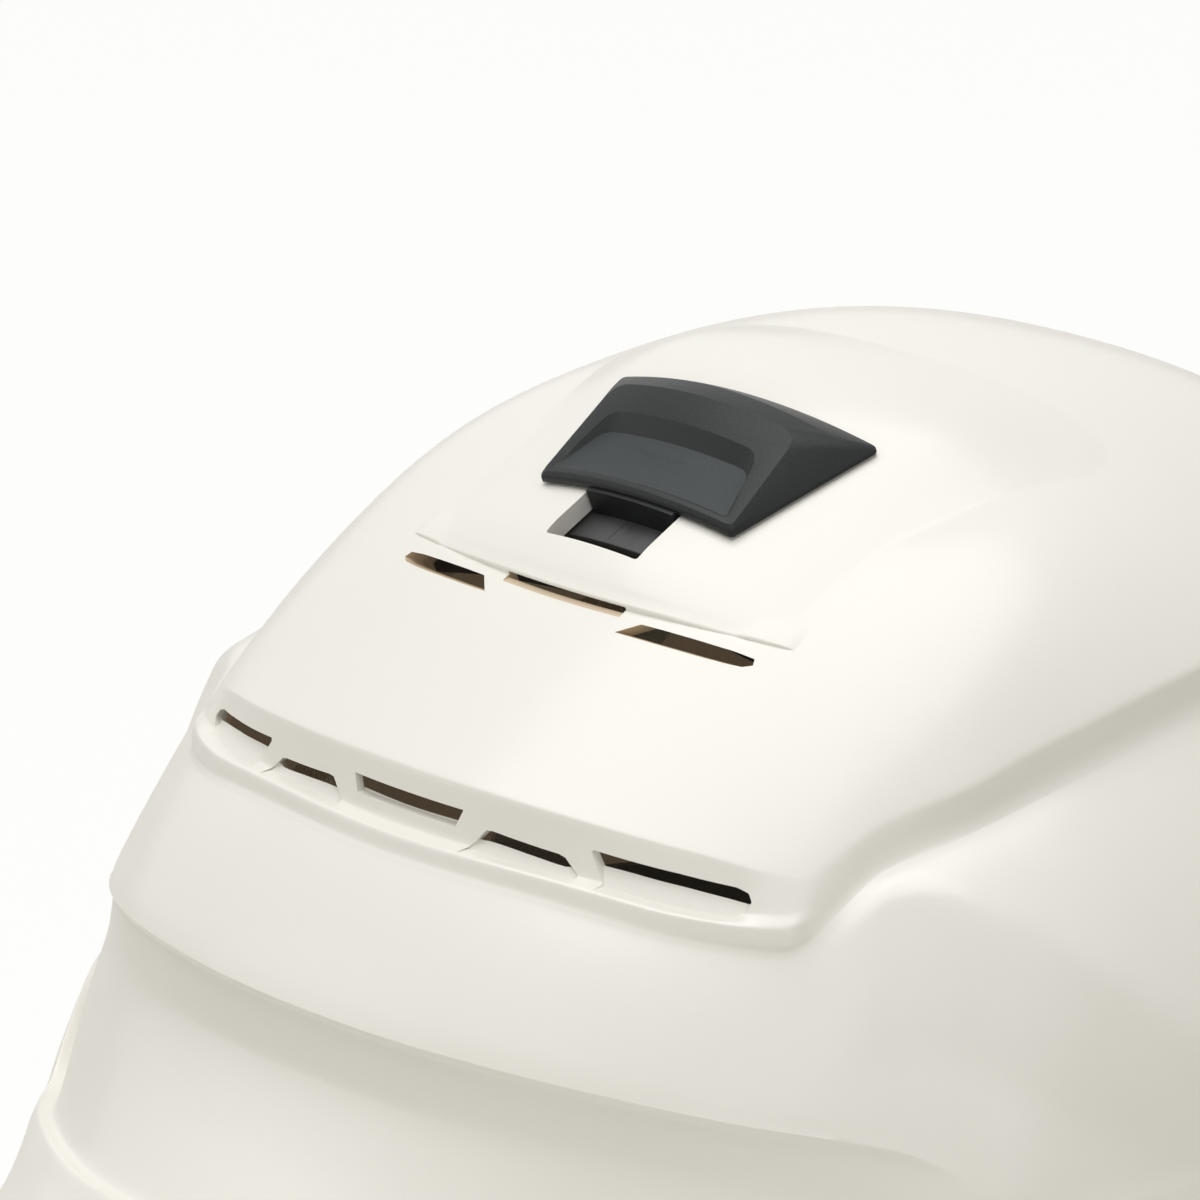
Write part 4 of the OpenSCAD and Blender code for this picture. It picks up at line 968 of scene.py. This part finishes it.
def build_nape_pad():
    """Soft pad on the inside of the ratchet housing, with a sewn border and two channels."""
    half_w, half_h, r, height = 29.0, 14.0, 7.0, 28.0
    back_y, middle_z = 99.95, 17

    def place(u, v, h):
        x, z = 2 * u - 1, 2 * v - 1
        # Drawn in at the corners to a rounded outline
        past = max(0.0, abs(z) * half_h - (half_h - r)) / r
        drawn = r * (1 - math.sqrt(max(0.0, 1 - past ** 2))) * abs(x) ** 3
        return (x * (half_w - drawn), back_y - h, middle_z + z * half_h)

    at = [0.34, 0.66]
    pad = pad_body("nape_pad_soft", 72, 36, place, 4.45,
                   {"long": 2 * half_w, "high": height, "round": 4.0, "border": 4.4, "at": at})
    runs = [stitch(place, (u, v), (0, 1 / height), 2.0, 2.42) for u in at
            for v in np.arange(5.5 / height, 1 - 7.0 / height, 2.6 / height)]
    return sewn(pad, NAPE_KNIT, runs)


def srgb(r, g, b):
    return tuple(((c / 255) / 12.92 if c <= 10 else ((c / 255 + 0.055) / 1.055) ** 2.4) for c in (r, g, b))


def fill(tree, made, inputs):
    """Gives a node's inputs their values, or joins other nodes' outputs to them."""
    for key, value in inputs.items():
        if isinstance(value, bpy.types.NodeSocket):
            tree.links.new(value, made.inputs[key])
        else:
            made.inputs[key].default_value = value
    return made


def shader(tree, kind, inputs=None, **settings):
    made = tree.nodes.new("ShaderNode" + kind)
    for key, value in settings.items():
        setattr(made, key, value)
    return fill(tree, made, inputs or {})


def math_node(tree, operation, a, b=0.0, clamp=False):
    return shader(tree, "Math", {0: a, 1: b}, operation=operation, use_clamp=clamp).outputs[0]


def noise(tree, scale, detail):
    coord = shader(tree, "TexCoord").outputs["Object"]
    return shader(tree, "TexNoise", {"Vector": coord, "Scale": scale, "Detail": detail}).outputs["Fac"]


def ramp(tree, value, low, high, out_low=0, out_high=1):
    limits = {"From Min": low, "From Max": high, "To Min": out_low, "To Max": out_high}
    return shader(tree, "MapRange", {"Value": value, **limits}).outputs[0]


def tint(tree, share, first, second):
    """Mixes a colour, or another node's colour, with a second one."""
    first = first if isinstance(first, bpy.types.NodeSocket) else (*first, 1)
    return shader(tree, "Mix", {0: share, 6: first, 7: (*second, 1)}, data_type="RGBA").outputs[2]


def float_group(name, inputs, make):
    """A node group of plain values: make gets the tree and its inputs and gives the outputs."""
    tree = bpy.data.node_groups.new(name, "ShaderNodeTree")
    for key, value in inputs.items():
        tree.interface.new_socket(key, in_out="INPUT", socket_type="NodeSocketFloat").default_value = value
    results = make(tree, tree.nodes.new("NodeGroupInput").outputs)
    for key in results:
        tree.interface.new_socket(key, in_out="OUTPUT", socket_type="NodeSocketFloat")
    fill(tree, tree.nodes.new("NodeGroupOutput"), results)
    return tree


def grain(tree, given):
    """Moulded grain: a fine pebble over a slow waviness."""
    slow = noise(tree, 26.0, 3)
    wave = math_node(tree, "MULTIPLY", slow, given["Wave Share"])
    return {"Height": math_node(tree, "ADD", noise(tree, given["Grain Scale"], 3), wave), "Unevenness": slow}


def edge_wear(tree, given):
    """Edge wear: where the surface turns sharply outward, broken up by noise."""
    edge = ramp(tree, shader(tree, "NewGeometry").outputs["Pointiness"], 0.52, 0.62)
    shaped = math_node(tree, "MULTIPLY", edge, noise(tree, 340.0, 4))
    return {"Mask": math_node(tree, "MULTIPLY", shaped, given["Amount"], True)}


def weave(tree, given):
    """Woven webbing: crossing ribs of warp and weft."""
    parts = shader(tree, "SeparateXYZ", {0: shader(tree, "UVMap").outputs["UV"]}).outputs
    warp = math_node(tree, "SINE", math_node(tree, "MULTIPLY", parts["X"], given["Rib"]))
    weft = math_node(tree, "SINE", math_node(tree, "MULTIPLY", parts["Y"], given["Pick"]))
    cross = math_node(tree, "MULTIPLY", math_node(tree, "MULTIPLY", warp, weft), 0.6)
    over = math_node(tree, "ADD", math_node(tree, "ABSOLUTE", warp), cross)
    return {"Height": over, "Gaps": math_node(tree, "LESS_THAN", over, 0.12)}


def knit_cells(tree, given):
    """Foam or knit: small rounded cells."""
    coord = shader(tree, "TexCoord").outputs["Object"]
    cells = shader(tree, "TexVoronoi", {"Vector": coord, "Scale": given["Cell Scale"]}, feature="SMOOTH_F1")
    away = cells.outputs["Distance"]
    return {"Height": math_node(tree, "SUBTRACT", 1.0, away),
            "Pits": math_node(tree, "GREATER_THAN", away, 0.55)}


GRAIN = float_group("moulded_grain", {"Grain Scale": 2400.0, "Wave Share": 0.3}, grain)
EDGE = float_group("edge_wear", {"Amount": 1.0}, edge_wear)
WEAVE = float_group("webbing_weave", {"Rib": 5200.0, "Pick": 3400.0}, weave)
PORES = float_group("knit_cells", {"Cell Scale": 1100.0}, knit_cells)


def use_group(tree, group, inputs=None):
    return shader(tree, "Group", inputs, node_tree=group).outputs


def new_material(name):
    mat = bpy.data.materials.new(name)
    mat.use_nodes = True
    return mat, mat.node_tree, mat.node_tree.nodes["Principled BSDF"]


def bump(tree, height, distance, strength):
    made = shader(tree, "Bump", {"Height": height, "Distance": distance, "Strength": strength})
    return made.outputs["Normal"]


def moulded(name, color, rough, grain_scale, grain_depth, strength=0.4, spread=0.06, wear=0.0, worn=(0, 0, 0),
            coat=0.0, metal=0.0, shine=0.5):
    """Moulded plastic or metal with its own grain, slow unevenness and worn edges."""
    mat, tree, bsdf = new_material(name)
    made = use_group(tree, GRAIN, {"Grain Scale": grain_scale})
    color = srgb(*color)
    darker = tuple(c * (1 - spread) for c in color)
    base = tint(tree, ramp(tree, made["Unevenness"], 0.35, 0.65), darker, color)
    if wear:
        base = tint(tree, use_group(tree, EDGE, {"Amount": wear})["Mask"], base, srgb(*worn))
    fill(tree, bsdf, {"Base Color": base, "Coat Weight": coat, "Coat Roughness": 0.17, "Metallic": metal,
                      "Roughness": ramp(tree, made["Unevenness"], 0.3, 0.7, rough - 0.04, rough + 0.05),
                      "Specular IOR Level": shine,
                      "Normal": bump(tree, made["Height"], grain_depth, strength)})
    return mat


def painted_inside_shade_and_glow():
    """Inner face of the shell: a darker tan than the outer white, which is painted shade, and a faint
    emission, which is a painted glow for the warm light that a thin white wall lets through.
    """
    # Painted shade: the inner face is coloured a darker tan than the white shell for the dim light inside the
    # helmet.
    mat = moulded("shell_inside", (208, 190, 164), 0.5, 1500.0, 0.00004, 0.3, 0.05)
    # Painted glow: a weak warm emission stands in for light coming through the wall.
    fill(mat.node_tree, mat.node_tree.nodes["Principled BSDF"],
         {"Emission Color": (*srgb(208, 188, 160), 1), "Emission Strength": 0.05})
    return mat


def textile(name, color, lighter, grain_scale, gaps, gap_share, gap_color, group, inputs, rough, sheen, depth,
            strength):
    """A woven or knitted face: its colour, the darker gaps between its yarns, and its relief."""
    mat, tree, bsdf = new_material(name)
    made = use_group(tree, group, inputs)
    slow = use_group(tree, GRAIN, {"Grain Scale": grain_scale})["Unevenness"]
    base = tint(tree, ramp(tree, slow, 0.35, 0.65), color, lighter)
    base = tint(tree, ramp(tree, made[gaps], 0, 1, 0, gap_share), base, gap_color)
    fill(tree, bsdf, {"Base Color": base, "Roughness": rough, "Sheen Weight": sheen,
                      "Normal": bump(tree, made["Height"], depth, strength)})
    return mat


def knit_finish(name, color, pit, cell):
    """Foam-backed knit: small rounded cells with dark pits."""
    color = srgb(*color)
    return textile(name, color, tuple(c * 1.35 for c in color), 3800.0, "Pits", 0.8, srgb(*pit), PORES,
                   {"Cell Scale": cell}, 0.9, 0.35, 0.0003, 0.6)


def dress(names, material, bevel):
    """Finishes CAD pieces: their own material, and edges rounded as a mould rounds them."""
    for name in names:
        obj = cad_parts[name]
        obj.data.materials.clear()
        obj.data.materials.append(material)
        obj.modifiers.new("weld", "WELD").merge_threshold = 0.02 * MM
        edges = obj.modifiers.new("edges", "BEVEL")
        edges.width, edges.segments, edges.angle_limit = bevel * MM, 2, math.radians(35)
        for poly in obj.data.polygons:
            poly.use_smooth = True
        obj.modifiers.new("corners", "EDGE_SPLIT").split_angle = math.radians(30)


def set_camera():
    """Camera of the photograph, fitted to the shell and the slider."""
    data = bpy.data.cameras.new("camera")
    data.sensor_width, data.lens = 36, 185.677
    data.clip_start, data.clip_end = 0.05, 20
    cam = add_object("camera", data)
    toward = Vector((0.663355, -0.677208, 0.318355))
    right = Vector((0.714387, 0.699750, 0))
    up = Vector((-0.222735, 0.227463, 0.947971))
    turn = Matrix((right, up, toward)).transposed().to_4x4()
    cam.matrix_world = Matrix.Translation(Vector((0.568858, -0.623184, 0.401608))) @ turn
    bpy.context.scene.camera = cam


def area_light(name, place, size, watts):
    """Round lamp aimed at the middle of the helmet."""
    data = bpy.data.lights.new(name, "AREA")
    data.shape, data.size, data.size_y, data.energy = "ELLIPSE", size, size, watts
    lamp = add_object(name, data)
    lamp.location = place
    lamp.rotation_euler = (Vector((0, 0, 0.1)) - Vector(place)).to_track_quat("-Z", "Y").to_euler()


BACKDROP, FLOOR_GLOW = (1.0, 1.0, 0.985, 1), 0.95


def set_world(color, strength):
    """Even light from all round, seen by the camera and in reflections as the pale backdrop."""
    world = bpy.data.worlds.new("studio")
    bpy.context.scene.world = world
    world.use_nodes = True
    tree = world.node_tree
    tree.nodes.clear()
    path = shader(tree, "LightPath").outputs
    seen = math_node(tree, "MAXIMUM", path["Is Camera Ray"], path["Is Glossy Ray"])
    seen = math_node(tree, "MAXIMUM", seen, path["Is Transmission Ray"])
    light = shader(tree, "Background", {"Color": (*color, 1), "Strength": strength})
    backdrop = shader(tree, "Background", {"Color": BACKDROP, "Strength": 1.0})
    mix = shader(tree, "MixShader", {0: seen, 1: light.outputs[0], 2: backdrop.outputs[0]})
    shader(tree, "OutputWorld", {"Surface": mix.outputs[0]})


def build_floor():
    """Pale floor that fades into the backdrop and still takes the helmet's shadow."""
    bm = bmesh.new()
    bmesh.ops.create_grid(bm, x_segments=8, y_segments=8, size=14.0)
    floor = add_object("floor", mesh_from(bm, "floor"))
    floor.location.z = -0.0005
    mat, tree, bsdf = new_material("pale_floor")
    fill(tree, bsdf, {"Base Color": (0.86, 0.85, 0.82, 1), "Roughness": 0.6})
    share = math_node(tree, "MULTIPLY", shader(tree, "LightPath").outputs["Is Camera Ray"], FLOOR_GLOW)
    glow = shader(tree, "Emission", {"Color": BACKDROP})
    mix = shader(tree, "MixShader", {0: share, 1: bsdf.outputs[0], 2: glow.outputs[0]})
    fill(tree, tree.nodes["Material Output"], {"Surface": mix.outputs[0]})
    floor.data.materials.append(mat)


set_camera()
set_world((1.0, 0.965, 0.85), 0.26)
build_floor()
area_light("key_top", (-0.12, -0.12, 1.3), 1.3, 11.7)
area_light("fill_front", (-0.9, -1.0, 0.55), 0.9, 1.3)
area_light("fill_side", (1.25, -0.75, 0.7), 1.2, 3.4)

shell = build_shell()
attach(shell, "base")
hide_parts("shell")
SLIDER_GREY = moulded("slider_grey", (25, 27, 29), 0.42, 2600.0, 0.0001, 0.45, 0.08, 0.6, (84, 88, 90),
                      shine=0.28)
RECESS_GREY = moulded("slider_recess", (46, 52, 54), 0.5, 2100.0, 0.00012, 0.5, 0.1, 0.3, (84, 88, 90),
                      shine=0.3)
slider = build_slider()
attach(slider, "slider")
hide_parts("slider_button")
WEBBING = textile("webbing", srgb(206, 203, 194), srgb(222, 219, 211), 5200.0, "Gaps", 0.5,
                  srgb(150, 146, 136), WEAVE, {}, 0.82, 0.25, 0.00018, 0.7)
THREAD = moulded("thread", (232, 230, 222), 0.7, 6000.0, 0.00008, 0.6)
THREAD_DARK = moulded("thread_dark", (92, 94, 96), 0.7, 6000.0, 0.00008, 0.6)
SWEAT_KNIT = knit_finish("sweatband_foam", (58, 59, 61), (24, 24, 25), 900.0)
NAPE_KNIT = knit_finish("nape_foam", (62, 63, 65), (26, 26, 27), 1150.0)

for name in STRAPS:
    strap = build_strap(name)
    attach(strap, "base")
    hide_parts(name)
for pad, node, slot in ((build_sweatband(), "sweatband", "sweatband_foam"),
                        (build_nape_pad(), "nape_pad", "nape_foam")):
    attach(pad, "base")
    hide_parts(node)

hangers = ["hanger_%s_%s" % (place, side) for place in ANCHORS for side in ("left", "right")]
dress(["slider_carrier", "shutter_plate"],
      moulded("shutter_black", (48, 49, 50), 0.42, 1800.0, 0.00006, 0.4, 0.08, 0.3, (80, 80, 80)), 0.3)
dress(["headband", "nape_arm_left", "nape_arm_right", "ratchet_base", "ratchet_cover"] + hangers,
      moulded("harness_grey", (112, 114, 115), 0.44, 1700.0, 0.00005, 0.4, 0.06, 0.5, (150, 152, 152)), 0.4)
dress(["pinion", "rack_left", "rack_right"],
      moulded("gear_grey", (160, 162, 163), 0.38, 1500.0, 0.00003, 0.3, 0.05, 0.4, (196, 197, 197)), 0.12)
dress(["ratchet_knob"],
      moulded("knob_black", (60, 61, 63), 0.55, 3000.0, 0.00012, 0.6, 0.08, 0.6, (104, 105, 106)), 0.5)
dress(["slider_screws", "knob_screw"],
      moulded("steel", (202, 202, 198), 0.3, 2600.0, 0.00003, 0.4, 0.08, 0.4, (226, 226, 224), metal=1.0),
      0.15)

bpy.context.scene.view_settings.view_transform = "Standard"
